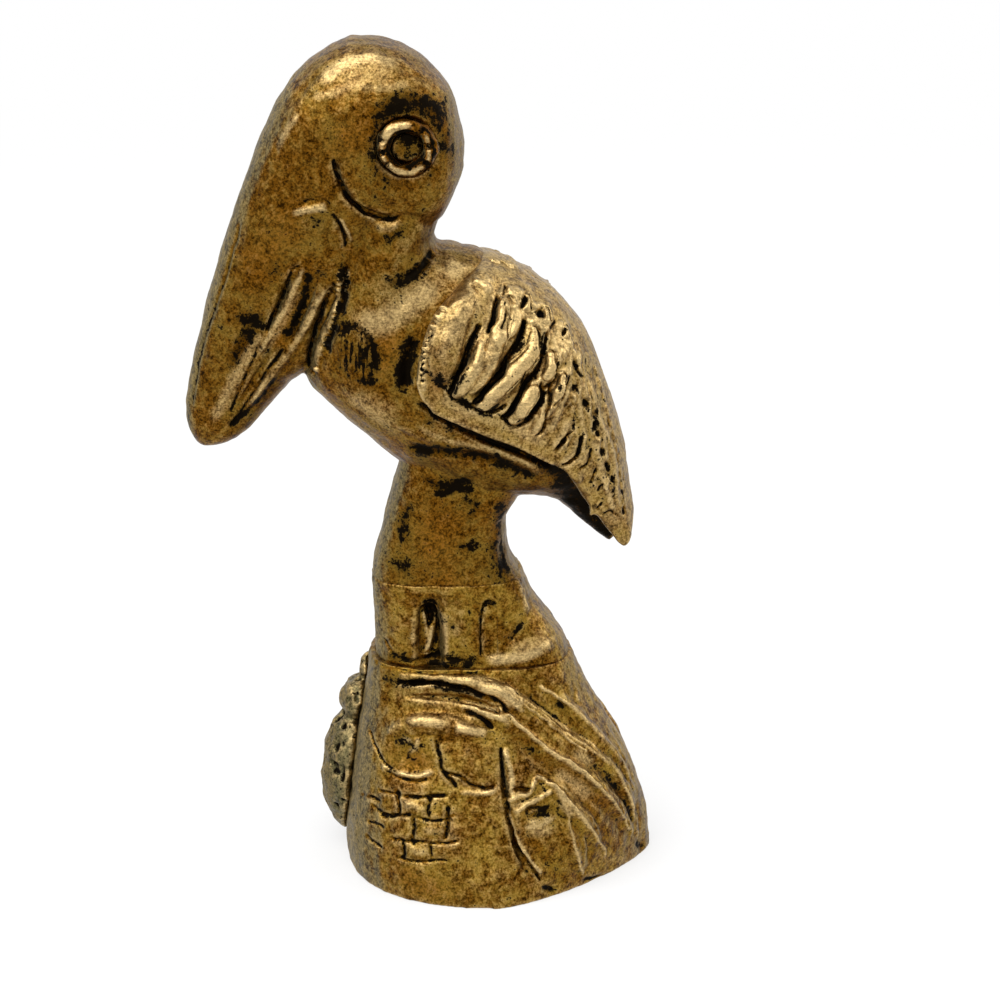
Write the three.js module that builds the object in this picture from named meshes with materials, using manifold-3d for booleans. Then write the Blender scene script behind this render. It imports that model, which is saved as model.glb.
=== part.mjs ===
// A pelican of cast brass, standing on a stump of rock and about 102 mm tall. The figure is cast in
// sections: the bird with its head and legs, a wing for each flank, a ring round each eye, the stump under
// the legs, the rock under the stump and a rough lump at its side. A long screw from below draws the stack
// together.
//
// Units are millimetres and +Z is up. The bill points to -X and the tail to +X. The origin lies on the flat
// underside, in the middle of the figure's bounding box. Each casting is drawn in its own frame, with z = 0
// at the face that it stands on.
import * as THREE from "three";
import { mergeVertices } from "three/addons/utils/BufferGeometryUtils.js";
import Module from "manifold-3d";

const wasm = await Module();
wasm.setup();

// Driving dimensions

const ROCK_LENGTH = 37.7; // along X, at its foot
const ROCK_WIDTH = 35.8;
const ROCK_HEIGHT = 26.5;
const STUMP_HEIGHT = 10.3;
const SEAM = 0.3; // gap between two castings that are fitted together
const WING_THICKNESS = 1.5;
const FEATHER_RISE = 0.9; // how far the large feathers stand proud of the wing
const WING_PEG_RADIUS = 1.2; // the peg that locates a wing on the torso
const WING_PEG_LENGTH = 2.5;
const EYE_RADIUS = 3.2; // outer radius of the ring round the eye
const EYE_BORE = 2;
const EYE_RISE = 0.7; // how far the ring stands proud of the head
const EYE_SEAT = 0.8; // how deep the ring is let into the head
const EYE_SHOULDER = 0.3; // where the ring's bevels start, as a share of its rise
const EYE_BEVEL = 0.25; // width of each bevel, as a share of the ring's
const ARCH_WIDTH = 2.2; // the arches carved into the stump
const ARCH_HEIGHT = 6.4;
const ARCH_DEPTH = 1.4;
const ARCH_SPACING = 7.2;
const RIDGE_WIDTH = 1.3; // half the width of a ridge that runs down the rock
const RIDGE_RISE = 0.8;
const SCREW_RADIUS = 2.5;
const SCREW_GRIP = 9; // length of the screw inside the bird's legs
const SCREW_X = 3.2;
const HEAD_RADIUS = 4.25; // the cheese head of the screw
const HEAD_HEIGHT = 3.2;
const HEAD_RECESS = 0.8; // how deep the head's face lies inside the foot of the rock
const DRIVER_SLOT_WIDTH = 1.2;
const DRIVER_SLOT_DEPTH = 1.4;
const WASHER_RADIUS = 4.6;
const WASHER_THICKNESS = 1;
const CLEARANCE = 0.35; // between the screw or its washer and the holes they pass

// How finely round forms are faceted, and how far cutting tools reach
const SKIN_FACETS = 28; // round a skin
const ROCK_FACETS = 32;
const BAR_FACETS = 24;
const WIDE_BAR_FACETS = 32;
const PEG_FACETS = 16;
const ARCH_FACETS = 6; // over the top of an arch
const OVERRUN = 1; // how far a cutting tool runs past the face that it breaks

// Where things lie in the side view, as x and z in the bird's own frame

const EYE = [-1.2, 54.3];
const WING_PEG = [8, 27];

const BRASS = new THREE.MeshStandardMaterial({ color: 0x8f6f35, roughness: 0.42, metalness: 1 });
const ROUGH_BRASS = new THREE.MeshStandardMaterial({ color: 0x6d5f42, roughness: 0.7, metalness: 0.8 });
const BRIGHT_BRASS = new THREE.MeshStandardMaterial({ color: 0xc0a060, roughness: 0.35, metalness: 1 });
const STEEL = new THREE.MeshStandardMaterial({ color: 0x8a8a86, roughness: 0.45, metalness: 1 });

// Closed skins, and solids made of them

/** One rib of a casting: its outline points a and b in the side view, its half width, and how boxy it is. */
function rib(ax, az, bx, bz, half, boxy = 2.4, boxyAtB = boxy) {
  return { a: [ax, az], b: [bx, bz], half, boxy, boxyAtB };
}

/** A closed geometry over rings of points that lie one after another in a single list. */
function skinOver(points, around) {
  const last = points.length / around - 1;
  const faces = [];
  for (let j = 0; j < last; j++)
    for (let i = 0; i < around; i++) {
      const [p, q] = [j * around + i, j * around + ((i + 1) % around)];
      faces.push(p, q, p + around, q, q + around, p + around);
    }
  for (const ring of [0, last]) {
    const start = ring * around;
    const centre = new THREE.Vector3();
    for (let i = 0; i < around; i++) {
      centre.addScaledVector(points[start + i], 1 / around);
      const edge = [start + i, start + ((i + 1) % around)];
      if (ring === 0) edge.reverse();
      faces.push(...edge, points.length);
    }
    points.push(centre);
  }
  return new THREE.BufferGeometry().setFromPoints(points).setIndex(faces);
}

/** A smooth closed skin over ribs. */
function skin(ribs, around = SKIN_FACETS, steps = 2) {
  const curve = (points) => new THREE.CatmullRomCurve3(points, false, "catmullrom");
  const aCurve = curve(ribs.map((r) => new THREE.Vector3(r.a[0], 0, r.a[1])));
  const bCurve = curve(ribs.map((r) => new THREE.Vector3(r.b[0], 0, r.b[1])));
  const sizeCurve = curve(ribs.map((r) => new THREE.Vector3(r.half, r.boxy, r.boxyAtB)));
  const rounded = (value, boxy) => Math.sign(value) * Math.abs(value) ** (2 / boxy);
  const rings = (ribs.length - 1) * steps;
  const points = [];
  for (let j = 0; j <= rings; j++) {
    const [a, b, size] = [aCurve, bCurve, sizeCurve].map((c) => c.getPoint(j / rings));
    const middle = a.clone().add(b).divideScalar(2);
    const reach = a.clone().sub(b).divideScalar(2);
    for (let i = 0; i < around; i++) {
      const angle = (2 * Math.PI * i) / around;
      const boxy = Math.cos(angle) > 0 ? size.y : size.z;
      const p = middle.clone().addScaledVector(reach, rounded(Math.cos(angle), boxy));
      p.y += size.x * rounded(Math.sin(angle), boxy);
      points.push(p);
    }
  }
  return skinOver(points, around);
}

/** The ribs grown outwards by a distance, all round and past both ends. */
function grown(ribs, by) {
  const moved = ribs.map((r) => {
    const reach = new THREE.Vector2(r.a[0] - r.b[0], r.a[1] - r.b[1]).setLength(by);
    const ends = [r.a[0] + reach.x, r.a[1] + reach.y, r.b[0] - reach.x, r.b[1] - reach.y];
    return rib(...ends, r.half + by, r.boxy, r.boxyAtB);
  });
  const middle = (r) => new THREE.Vector2((r.a[0] + r.b[0]) / 2, (r.a[1] + r.b[1]) / 2);
  for (const [end, next] of [[0, 1], [ribs.length - 1, ribs.length - 2]]) {
    const out = middle(ribs[end]).sub(middle(ribs[next])).setLength(by);
    for (const point of [moved[end].a, moved[end].b]) {
      point[0] += out.x;
      point[1] += out.y;
    }
  }
  return moved;
}

/** A closed geometry as a solid with its faces pointing out. */
function solid(geometry) {
  const bare = geometry.clone();
  for (const name of ["normal", "uv"]) bare.deleteAttribute(name);
  const merged = mergeVertices(bare, 1e-4);
  const triVerts = new Uint32Array(merged.index.array);
  const vertProperties = new Float32Array(merged.attributes.position.array);
  const made = new wasm.Manifold(new wasm.Mesh({ numProp: 3, vertProperties, triVerts }));
  if (made.volume() > 0) return made;
  return new wasm.Manifold(new wasm.Mesh({ numProp: 3, vertProperties, triVerts: triVerts.reverse() }));
}

const join = (...solids) => solids.reduce((all, next) => all.add(next));
const cut = (body, ...tools) => tools.reduce((left, tool) => left.subtract(tool), body);
const mirrored = (made) => made.mirror([0, 1, 0]);

/** An upright round bar on the screw's axis, from z = low to z = high. */
function bar(radius, low, high, sides = BAR_FACETS) {
  const geometry = new THREE.CylinderGeometry(radius, radius, high - low, sides).rotateX(Math.PI / 2);
  return solid(geometry.translate(SCREW_X, 0, (low + high) / 2));
}

/** A prism across the figure over an outline in the side view, from y = near to y = far. */
function prism(outline, near, far) {
  const shape = new THREE.Shape(outline.map(([x, z]) => new THREE.Vector2(x, z)));
  const geometry = new THREE.ExtrudeGeometry(shape, { depth: far - near, bevelEnabled: false });
  return solid(geometry.rotateX(Math.PI / 2).translate(0, far, 0));
}

/** A y that lies beyond the near side of a geometry. */
function beyond(geometry) {
  geometry.computeBoundingBox();
  return geometry.boundingBox.min.y - OVERRUN;
}

/** Where the near side of a geometry faces the side view's point x, z: that point and the normal there. */
function nearSide(geometry, [x, z]) {
  const target = new THREE.Mesh(geometry, new THREE.MeshBasicMaterial({ side: THREE.DoubleSide }));
  const ray = new THREE.Raycaster(new THREE.Vector3(x, beyond(geometry), z), new THREE.Vector3(0, 1, 0));
  const [{ point, face }] = ray.intersectObject(target);
  return { point, normal: face.normal.y > 0 ? face.normal.clone().negate() : face.normal.clone() };
}

const BLUNTNESS = 0.4; // how blunt a strand's ends are, as a share of the length between two of its rings

/** A tapered strand, half sunk in the near side of a geometry, along a route of side-view points. */
function strand(geometry, route, halfWidth, rise, sides = 6, steps = 2) {
  const seats = route.map((at) => nearSide(geometry, at));
  const path = new THREE.CatmullRomCurve3(seats.map((s) => s.point));
  const lean = new THREE.CatmullRomCurve3(seats.map((s) => s.normal));
  const rings = (route.length - 1) * steps;
  const points = [];
  for (let j = 0; j <= rings; j++) {
    const swell = Math.sqrt(Math.sin((Math.PI * (j + BLUNTNESS)) / (rings + 2 * BLUNTNESS)));
    const along = path.getTangent(j / rings);
    const up = lean.getPoint(j / rings).projectOnPlane(along).setLength(rise * swell);
    const across = up.clone().cross(along).setLength(halfWidth * swell);
    for (let i = 0; i < sides; i++) {
      const angle = (2 * Math.PI * i) / sides;
      const p = path.getPoint(j / rings).addScaledVector(up, Math.cos(angle));
      points.push(p.addScaledVector(across, Math.sin(angle)));
    }
  }
  return solid(skinOver(points, sides));
}

/** A casting or fitting as a named mesh. */
function mesh(name, made, material) {
  const { numProp, vertProperties, triVerts } = made.getMesh();
  const position = new THREE.BufferAttribute(new Float32Array(vertProperties), numProp);
  const geometry = new THREE.BufferGeometry().setAttribute("position", position);
  geometry.setIndex(new THREE.BufferAttribute(new Uint32Array(triVerts), 1));
  geometry.computeVertexNormals();
  const named = new THREE.Mesh(geometry, material);
  named.name = name;
  return named;
}

// The bird, in a frame with z = 0 at the foot of its legs

const HEAD_RIBS = [
  rib(5.2, 53.1, 5.2, 50.1, 2.6),
  rib(4.2, 57.8, 4.0, 46.9, 6.0),
  rib(2.4, 61.0, 2.6, 44.3, 7.6),
  rib(-2.1, 64.4, 0.7, 42.9, 8.4),
  rib(-7.8, 65.1, -2.3, 42.6, 8.4),
  rib(-12.6, 62.5, -4.6, 42.0, 7.9),
  rib(-16.4, 57.8, -5.2, 40.4, 7.3, 2.6),
  rib(-20.4, 48.3, -6.8, 35.2, 6.5, 2.8),
  rib(-23.6, 38.7, -9.6, 28.2, 5.6, 2.8),
  rib(-26.3, 28.9, -15.2, 24.3, 4.5, 2.6),
  rib(-27.9, 21.6, -20.2, 18.3, 3.2),
  rib(-27.7, 18.3, -22.9, 16.5, 2.4),
  rib(-26.6, 16.4, -25.1, 16.0, 1.2),
];
const TORSO_RIBS = [
  rib(4.0, 49.2, -7.5, 48.2, 6.4, 2.2),
  rib(1.7, 41.9, -9.9, 38.5, 7.0, 2.2),
  rib(3.3, 40.5, -12.2, 31.5, 7.6, 2.2, 2.6),
  rib(6.9, 39.3, -13.8, 25.5, 8.4, 2.2, 2.6),
  rib(10.7, 36.9, -10.9, 21.8, 9.2, 2.2, 2.4),
  rib(14.6, 33.7, -6.9, 18.0, 9.5, 2.2),
  rib(17.9, 29.6, -2.0, 14.0, 9.2, 2.2),
  rib(20.2, 24.3, 5.2, 10.2, 8.0, 2.2),
  rib(21.9, 19.2, 12.4, 10.2, 6.2, 2.2),
  rib(23.0, 14.2, 16.1, 9.4, 4.4, 2.2),
  rib(23.6, 9.8, 19.5, 6.2, 2.9, 2.2),
  rib(23.9, 5.9, 22.4, 3.9, 2.0, 2.2),
];
const LEG_RIBS = [
  rib(-6.0, 0, 11.8, 0, 6.2, 3.2),
  rib(-5.8, 2.0, 10.6, 2.0, 6.0, 3.2),
  rib(-5.1, 4.4, 10.1, 4.4, 5.8, 3.2),
  rib(-4.4, 7.4, 10.1, 7.4, 5.8, 3.2),
  rib(-3.3, 11.4, 11.8, 10.6, 6.1, 3.2),
  rib(-1.9, 16.9, 14.0, 16.2, 6.3, 3.2),
];
const WING_OUTLINE = [
  [10.4, 38.9], [8.8, 39.4], [7.2, 39.7], [4.2, 37.6], [2.0, 35.2], [0.6, 32.2], [0.0, 29.4],
  [-0.2, 27.0], [0.3, 25.2], [1.6, 23.4], [3.9, 22.3], [7.5, 20.6], [11.3, 19.0], [14.9, 16.7],
  [16.9, 15.1], [19.4, 10.5], [22.6, 5.7], [23.5, 4.5], [24.3, 4.0], [25.1, 4.4], [25.4, 8.0],
  [29.0, 20.0], [25.0, 34.0], [14.0, 40.6],
];

// Feathers of a wing: a route in the side view and half the width. The broad one is the shoulder.
const FEATHERS = [
  { route: [[6.4, 37.4], [4.0, 34.2], [3.0, 30.6], [2.6, 27.4]], halfWidth: 2.1 },
  { route: [[7.2, 32.0], [6.6, 29.4], [5.4, 27.6], [4.2, 25.6]], halfWidth: 1.0 },
  { route: [[10.4, 36.2], [9.4, 33.4], [8.9, 31.0], [8.3, 29.0], [6.2, 26.2]], halfWidth: 1.1 },
  { route: [[13.4, 32.8], [13.2, 30.4], [11.4, 28.8], [9.6, 26.8], [7.0, 24.4]], halfWidth: 1.0 },
  { route: [[15.3, 30.0], [14.8, 27.2]], halfWidth: 0.9 },
  { route: [[13.7, 26.4], [12.4, 24.7], [10.4, 22.6]], halfWidth: 0.9 },
  { route: [[16.8, 27.3], [15.9, 24.7], [14.2, 22.2]], halfWidth: 0.7 },
  { route: [[12.6, 36.8], [12.4, 34.6]], halfWidth: 0.8 },
  { route: [[14.8, 35.0], [14.7, 32.8]], halfWidth: 0.8 },
  { route: [[16.9, 32.6], [17.0, 30.8]], halfWidth: 0.7 },
];

// Small scales that run down the back in rows, and shrink and close up towards the tail
const SCALE_ROWS = 3;
const SCALES_IN_ROW = 4;
const SCALE_RISE = 0.5;
const SCALE_WIDTH = 0.8; // half the width of the first one
const SCALE_DROP = [-0.3, -2.2]; // from the top of the first one to its tip
const SCALE_SHRINK = 0.45; // how much a row's last scale is smaller than its first, as a share
const FIRST_SCALE = [18.9, 29.2];
const ROW_RUN = [4.2, -20.6]; // from the start of a row to its end
const ROW_STEP = [-1.6, -1.9]; // from one row to the next
const ROW_CLOSING = 0.6; // how much nearer the rows lie at their end, as a share

// Grooves cut into the side of the bill, and the one that rounds the cheek
const BILL_GROOVES = [
  [[-13.6, 39.6], [-15.0, 37.8], [-16.6, 34.0], [-17.9, 31.0]],
  [[-11.6, 39.0], [-12.6, 35.8], [-13.8, 33.2], [-15.2, 30.6]],
  [[-10.0, 37.0], [-11.4, 33.6], [-12.4, 30.2], [-12.8, 27.6]],
  [[-17.0, 31.0], [-18.2, 27.4], [-20.4, 23.6], [-22.2, 20.6]],
  [[-9.3, 53.7], [-9.2, 51.2], [-7.6, 47.7], [-5.0, 46.0], [-2.7, 45.6]],
];
const BILL_GROOVE_WIDTH = 0.5; // half the width
const BILL_GROOVE_DEPTH = 0.6;

const torso = skin(TORSO_RIBS);
const head = skin(HEAD_RIBS);
const wingSkin = skin(grown(TORSO_RIBS, WING_THICKNESS + SEAM));

/** The small scales of a wing, which shrink towards the tail. */
function scales() {
  const made = [];
  for (let row = 0; row < SCALE_ROWS; row++)
    for (let k = 0; k < SCALES_IN_ROW; k++) {
      const along = (k + 0.5 * (row % 2)) / SCALES_IN_ROW;
      const size = 1 - SCALE_SHRINK * along;
      const x = FIRST_SCALE[0] + ROW_RUN[0] * along + ROW_STEP[0] * row * (1 - ROW_CLOSING * along);
      const z = FIRST_SCALE[1] + ROW_RUN[1] * along + ROW_STEP[1] * row;
      const tip = [x + SCALE_DROP[0] * size, z + SCALE_DROP[1] * size];
      made.push(strand(wingSkin, [[x, z], tip], SCALE_WIDTH * size, SCALE_RISE, 5, 1));
    }
  return made;
}

/** The near wing: a curved plate on the torso with its feathers raised, and a peg to locate it. */
function wing() {
  const plate = prism(WING_OUTLINE, beyond(wingSkin), -SEAM / 2).intersect(solid(wingSkin));
  const feathers = FEATHERS.map(({ route, halfWidth }) => strand(wingSkin, route, halfWidth, FEATHER_RISE));
  const beds = [TORSO_RIBS, LEG_RIBS, HEAD_RIBS].map((ribs) => solid(skin(grown(ribs, SEAM))));
  return join(cut(join(plate, ...feathers, ...scales()), ...beds), peg(WING_PEG_RADIUS, WING_PEG_LENGTH));
}

/** The peg under the wing, or the hole for it in the torso. */
function peg(radius, depth) {
  const { point } = nearSide(wingSkin, WING_PEG);
  const length = depth + SEAM + WING_THICKNESS / 2;
  const middle = point.y + WING_THICKNESS / 2 + length / 2;
  const pin = new THREE.CylinderGeometry(radius, radius, length, PEG_FACETS);
  return solid(pin.translate(point.x, middle, point.z));
}

/** The ring that rims the near eye, or the seat for it when it is given some extra size. */
function eyeRing(extra = 0) {
  const { point } = nearSide(head, EYE);
  const [inner, outer] = [EYE_BORE - extra, EYE_RADIUS + extra];
  const [back, shoulder] = [EYE_SEAT + extra, EYE_SHOULDER * EYE_RISE];
  const bevel = EYE_BEVEL * (outer - inner);
  const profile = [
    [inner, -back], [outer, -back], [outer, shoulder], [outer - bevel, EYE_RISE],
    [inner + bevel, EYE_RISE], [inner, shoulder], [inner, -back],
  ];
  const ring = new THREE.LatheGeometry(profile.map(([r, out]) => new THREE.Vector2(r, -out)), BAR_FACETS);
  return solid(ring.translate(...point));
}

/** The bird: torso, head with its bill, and legs in one casting, with seats for what is fitted to it. */
function bird() {
  const body = join(solid(torso), solid(head), solid(skin(LEG_RIBS, SKIN_FACETS, 1)));
  const grooves = BILL_GROOVES.map((route) => strand(head, route, BILL_GROOVE_WIDTH, BILL_GROOVE_DEPTH));
  const seats = join(peg(WING_PEG_RADIUS + SEAM, WING_PEG_LENGTH + SEAM), eyeRing(SEAM), ...grooves);
  const screwHole = bar(SCREW_RADIUS + CLEARANCE, -OVERRUN, SCREW_GRIP + CLEARANCE);
  return cut(body, seats, mirrored(seats), screwHole);
}

// The stump that the legs stand on, in a frame with z = 0 on the rock

// Its sections from the foot up: x where each starts and ends, height as a share of the stump's, half width
const STUMP_SECTIONS = [
  [-5.8, 17.9, 0, 7.0],
  [-5.8, 17.2, 0.15, 6.6],
  [-5.9, 15.5, 0.4, 6.3],
  [-6.0, 13.2, 0.7, 6.2],
  [-6.1, 12.0, 1, 6.4],
];
const STUMP_BOXINESS = 3;
const STUMP_RIBS = STUMP_SECTIONS.map(([start, end, share, half]) => {
  const height = share * STUMP_HEIGHT;
  return rib(start, height, end, height, half, STUMP_BOXINESS);
});
const ARCH_FOOT = 1.6; // height of the arches' sills
const FIRST_ARCH_X = 0.8;

/** The tool that carves one arch into the near side of the stump. */
function arch(x) {
  const radius = ARCH_WIDTH / 2;
  const spring = ARCH_FOOT + ARCH_HEIGHT - radius;
  const { point } = nearSide(skin(STUMP_RIBS), [x, spring]);
  const outline = new THREE.Path().absarc(x, spring, radius, 0, Math.PI).getPoints(ARCH_FACETS);
  const corners = [new THREE.Vector2(x - radius, ARCH_FOOT), new THREE.Vector2(x + radius, ARCH_FOOT)];
  return prism([...outline, ...corners].map((p) => [p.x, p.y]), point.y - ARCH_DEPTH, point.y + ARCH_DEPTH);
}

function stump() {
  const arches = join(arch(FIRST_ARCH_X), arch(FIRST_ARCH_X + ARCH_SPACING));
  const screwHole = bar(SCREW_RADIUS + CLEARANCE, -OVERRUN, STUMP_HEIGHT + OVERRUN);
  return cut(solid(skin(STUMP_RIBS, SKIN_FACETS, 1)), arches, mirrored(arches), screwHole);
}

// The rock, in a frame with z = 0 on its underside

// Its sections from the foot up, in shares of the rock's length, height and width: where each starts and
// ends, its height, its half width, and how boxy it is at either end
const ROCK_SECTIONS = [
  [-0.248, 0.7427, 0, 0.5, 2.35, 1.33],
  [-0.2546, 0.7374, 0.13, 0.48, 2.5, 1.45],
  [-0.244, 0.7135, 0.3, 0.44, 2.6, 1.7],
  [-0.2281, 0.668, 0.48, 0.3829, 2.6, 1.9],
  [-0.2069, 0.6, 0.66, 0.32, 2.6, 2.0],
  [-0.1857, 0.534, 0.82, 0.2657, 2.7, 2.2],
  [-0.1698, 0.479, 1, 0.2171, 3, 2.6],
];
const ROCK_RIBS = ROCK_SECTIONS.map(([start, end, share, half, ...boxiness]) => {
  const height = share * ROCK_HEIGHT;
  return rib(start * ROCK_LENGTH, height, end * ROCK_LENGTH, height, half * ROCK_WIDTH, ...boxiness);
});

// Ridges that run down the rock and grooves cut into it, as x and height in shares of its length and height
const RIDGES = [
  [[-0.053, 0.94], [0.111, 0.94], [0.215, 0.92], [0.302, 0.86], [0.448, 0.68], [0.584, 0.53], [0.66, 0.36],
    [0.69, 0.2]],
  [[0.149, 0.81], [0.249, 0.81], [0.374, 0.67], [0.573, 0.42], [0.642, 0.28], [0.679, 0.14]],
  [[0.44, 0.86], [0.515, 0.72], [0.615, 0.53], [0.679, 0.34]],
  [[0.395, 0.52], [0.448, 0.43], [0.523, 0.31], [0.565, 0.2]],
  [[0.464, 0.35], [0.493, 0.22], [0.515, 0.1]],
  [[-0.106, 0.72], [-0.027, 0.77], [0.08, 0.78], [0.199, 0.74]],
];
const GROOVES = [
  [[-0.072, 0.88], [0.082, 0.89], [0.196, 0.86], [0.292, 0.79]],
  [[0.249, 0.7], [0.263, 0.52], [0.286, 0.36], [0.332, 0.17], [0.361, 0.1]],
];
const GROOVE_WIDTH = 0.5; // half the width
const GROOVE_DEPTH = 0.7;

// The rough lumps beside the rock: their middles and half sizes, in shares of its length, width and height
const LUMPS = [
  { at: [-0.228, 0.069, 0.352], size: [0.101, 0.149, 0.31] },
  { at: [-0.202, 0.08, 0.7], size: [0.061, 0.097, 0.115] },
  { at: [-0.17, 0.086, 0.845], size: [0.034, 0.066, 0.082] },
];
const LUMP_FACETS = [14, 9]; // round a lump, and from its top to its foot

/** The screw's way through the rock: the shank's hole, and the counterbore for its head and washer. */
function screwWay() {
  const floor = HEAD_RECESS + HEAD_HEIGHT + WASHER_THICKNESS;
  const shank = bar(SCREW_RADIUS + CLEARANCE, -OVERRUN, ROCK_HEIGHT + OVERRUN);
  return join(shank, bar(WASHER_RADIUS + CLEARANCE, -OVERRUN, floor, WIDE_BAR_FACETS));
}

/** Strands along routes on the near side of the rock and, mirrored, on the far side. */
function rockStrands(routes, halfWidth, rise) {
  const face = skin(ROCK_RIBS, ROCK_FACETS);
  const placed = ([x, z]) => [x * ROCK_LENGTH, z * ROCK_HEIGHT];
  const near = join(...routes.map((route) => strand(face, route.map(placed), halfWidth, rise)));
  return join(near, mirrored(near));
}

function rock() {
  const bare = solid(skin(ROCK_RIBS, ROCK_FACETS));
  const ridged = join(bare, rockStrands(RIDGES, RIDGE_WIDTH, RIDGE_RISE));
  return cut(ridged, rockStrands(GROOVES, GROOVE_WIDTH, GROOVE_DEPTH), screwWay());
}

/** The rough lumps at the side of the rock, seated on it and on the stump. */
function sideRock() {
  const lumps = LUMPS.map(({ at, size }) => {
    const ball = new THREE.SphereGeometry(1, ...LUMP_FACETS).scale(...size).translate(...at);
    return solid(ball.scale(ROCK_LENGTH, ROCK_WIDTH, ROCK_HEIGHT));
  });
  const bed = solid(skin(grown(ROCK_RIBS, SEAM), ROCK_FACETS));
  const stumpBed = solid(skin(grown(STUMP_RIBS, SEAM), SKIN_FACETS, 1)).translate([0, 0, ROCK_HEIGHT]);
  return cut(join(...lumps), bed, stumpBed);
}

// The screw that holds the stack, and its washer, in the rock's frame

const SHOULDER = HEAD_RECESS + HEAD_HEIGHT; // height of the face that bears on the washer

function screw() {
  const shank = bar(SCREW_RADIUS, HEAD_RECESS, ROCK_HEIGHT + STUMP_HEIGHT + SCREW_GRIP);
  const bladeLength = 2 * (HEAD_RADIUS + OVERRUN);
  const blade = new THREE.BoxGeometry(bladeLength, DRIVER_SLOT_WIDTH, 2 * DRIVER_SLOT_DEPTH);
  const slot = solid(blade.translate(SCREW_X, 0, HEAD_RECESS));
  return cut(join(bar(HEAD_RADIUS, HEAD_RECESS, SHOULDER), shank), slot);
}

function washer() {
  const top = SHOULDER + WASHER_THICKNESS;
  const disc = bar(WASHER_RADIUS, SHOULDER, top, WIDE_BAR_FACETS);
  return cut(disc, bar(SCREW_RADIUS + CLEARANCE, SHOULDER - OVERRUN, top + OVERRUN));
}

// The assembly

const nearWing = wing();
const nearRing = eyeRing();
const birdGroup = new THREE.Group();
birdGroup.position.z = ROCK_HEIGHT + STUMP_HEIGHT;
birdGroup.add(
  mesh("bird_body", bird(), BRASS),
  mesh("left_wing", nearWing, BRASS),
  mesh("right_wing", mirrored(nearWing), BRASS),
  mesh("left_eye_ring", nearRing, BRIGHT_BRASS),
  mesh("right_eye_ring", mirrored(nearRing), BRIGHT_BRASS),
);
const stumpMesh = mesh("perch_stump", stump(), BRASS);
stumpMesh.position.z = ROCK_HEIGHT;

const pelican = new THREE.Group();
pelican.add(
  birdGroup,
  stumpMesh,
  mesh("rock_base", rock(), BRASS),
  mesh("side_rock", sideRock(), ROUGH_BRASS),
  mesh("tie_screw", screw(), STEEL),
  mesh("screw_washer", washer(), STEEL),
);
export default pelican;
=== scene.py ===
"""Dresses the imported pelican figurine: worked castings, antique brass, a plain stage and the camera."""
import itertools
import math

import bmesh
import bpy
import numpy as np
from bpy.props import FloatProperty, FloatVectorProperty, IntProperty, PointerProperty
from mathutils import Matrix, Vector
from mathutils.bvhtree import BVHTree


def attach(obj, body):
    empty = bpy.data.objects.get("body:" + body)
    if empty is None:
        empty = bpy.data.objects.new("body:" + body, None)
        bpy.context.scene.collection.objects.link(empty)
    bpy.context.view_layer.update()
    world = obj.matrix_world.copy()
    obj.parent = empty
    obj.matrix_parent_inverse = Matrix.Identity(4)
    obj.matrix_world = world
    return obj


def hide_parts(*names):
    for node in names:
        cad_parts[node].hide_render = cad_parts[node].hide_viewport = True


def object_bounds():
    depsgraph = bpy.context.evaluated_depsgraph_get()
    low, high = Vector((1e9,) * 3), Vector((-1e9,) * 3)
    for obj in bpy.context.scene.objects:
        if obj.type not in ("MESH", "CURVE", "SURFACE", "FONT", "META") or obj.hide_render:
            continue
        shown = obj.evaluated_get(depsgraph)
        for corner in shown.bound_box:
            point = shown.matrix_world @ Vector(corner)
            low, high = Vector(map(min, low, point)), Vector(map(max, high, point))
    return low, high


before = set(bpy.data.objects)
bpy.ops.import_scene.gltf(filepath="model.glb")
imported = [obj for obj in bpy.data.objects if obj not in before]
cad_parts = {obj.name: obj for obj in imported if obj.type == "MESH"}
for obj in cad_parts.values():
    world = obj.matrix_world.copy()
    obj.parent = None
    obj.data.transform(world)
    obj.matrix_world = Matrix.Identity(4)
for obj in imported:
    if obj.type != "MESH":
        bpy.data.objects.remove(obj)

bl_info = {
    "name": "Pelican figurine",
    "version": (1, 0, 0),
    "blender": (4, 5, 0),
    "location": "View3D > Sidebar > Pelican",
    "description": "Builds the castings of a brass pelican over its packed model, with a stage and camera",
    "category": "Add Mesh",
}


def corners():
    """The lowest and highest corner of everything, as plain lists of numbers."""
    return [[float(value) for value in corner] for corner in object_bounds()]


CAD_BOX = corners()
MM = 0.001
ROCK_SEAM, LEG_SEAM = 26.5, 36.8  # heights in millimetres at which the castings meet


def strokes(*rows):
    """Strokes of a half width, a strength and side-view points x, z, in millimetres. A row gives the first
    two in hundredths, then x, z, x, z in tenths."""
    points = ([(x / 10, z / 10) for x, z in zip(row[2::2], row[3::2])] for row in rows)
    return [(row[0] / 100, row[1] / 100, route) for row, route in zip(rows, points)]


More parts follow.
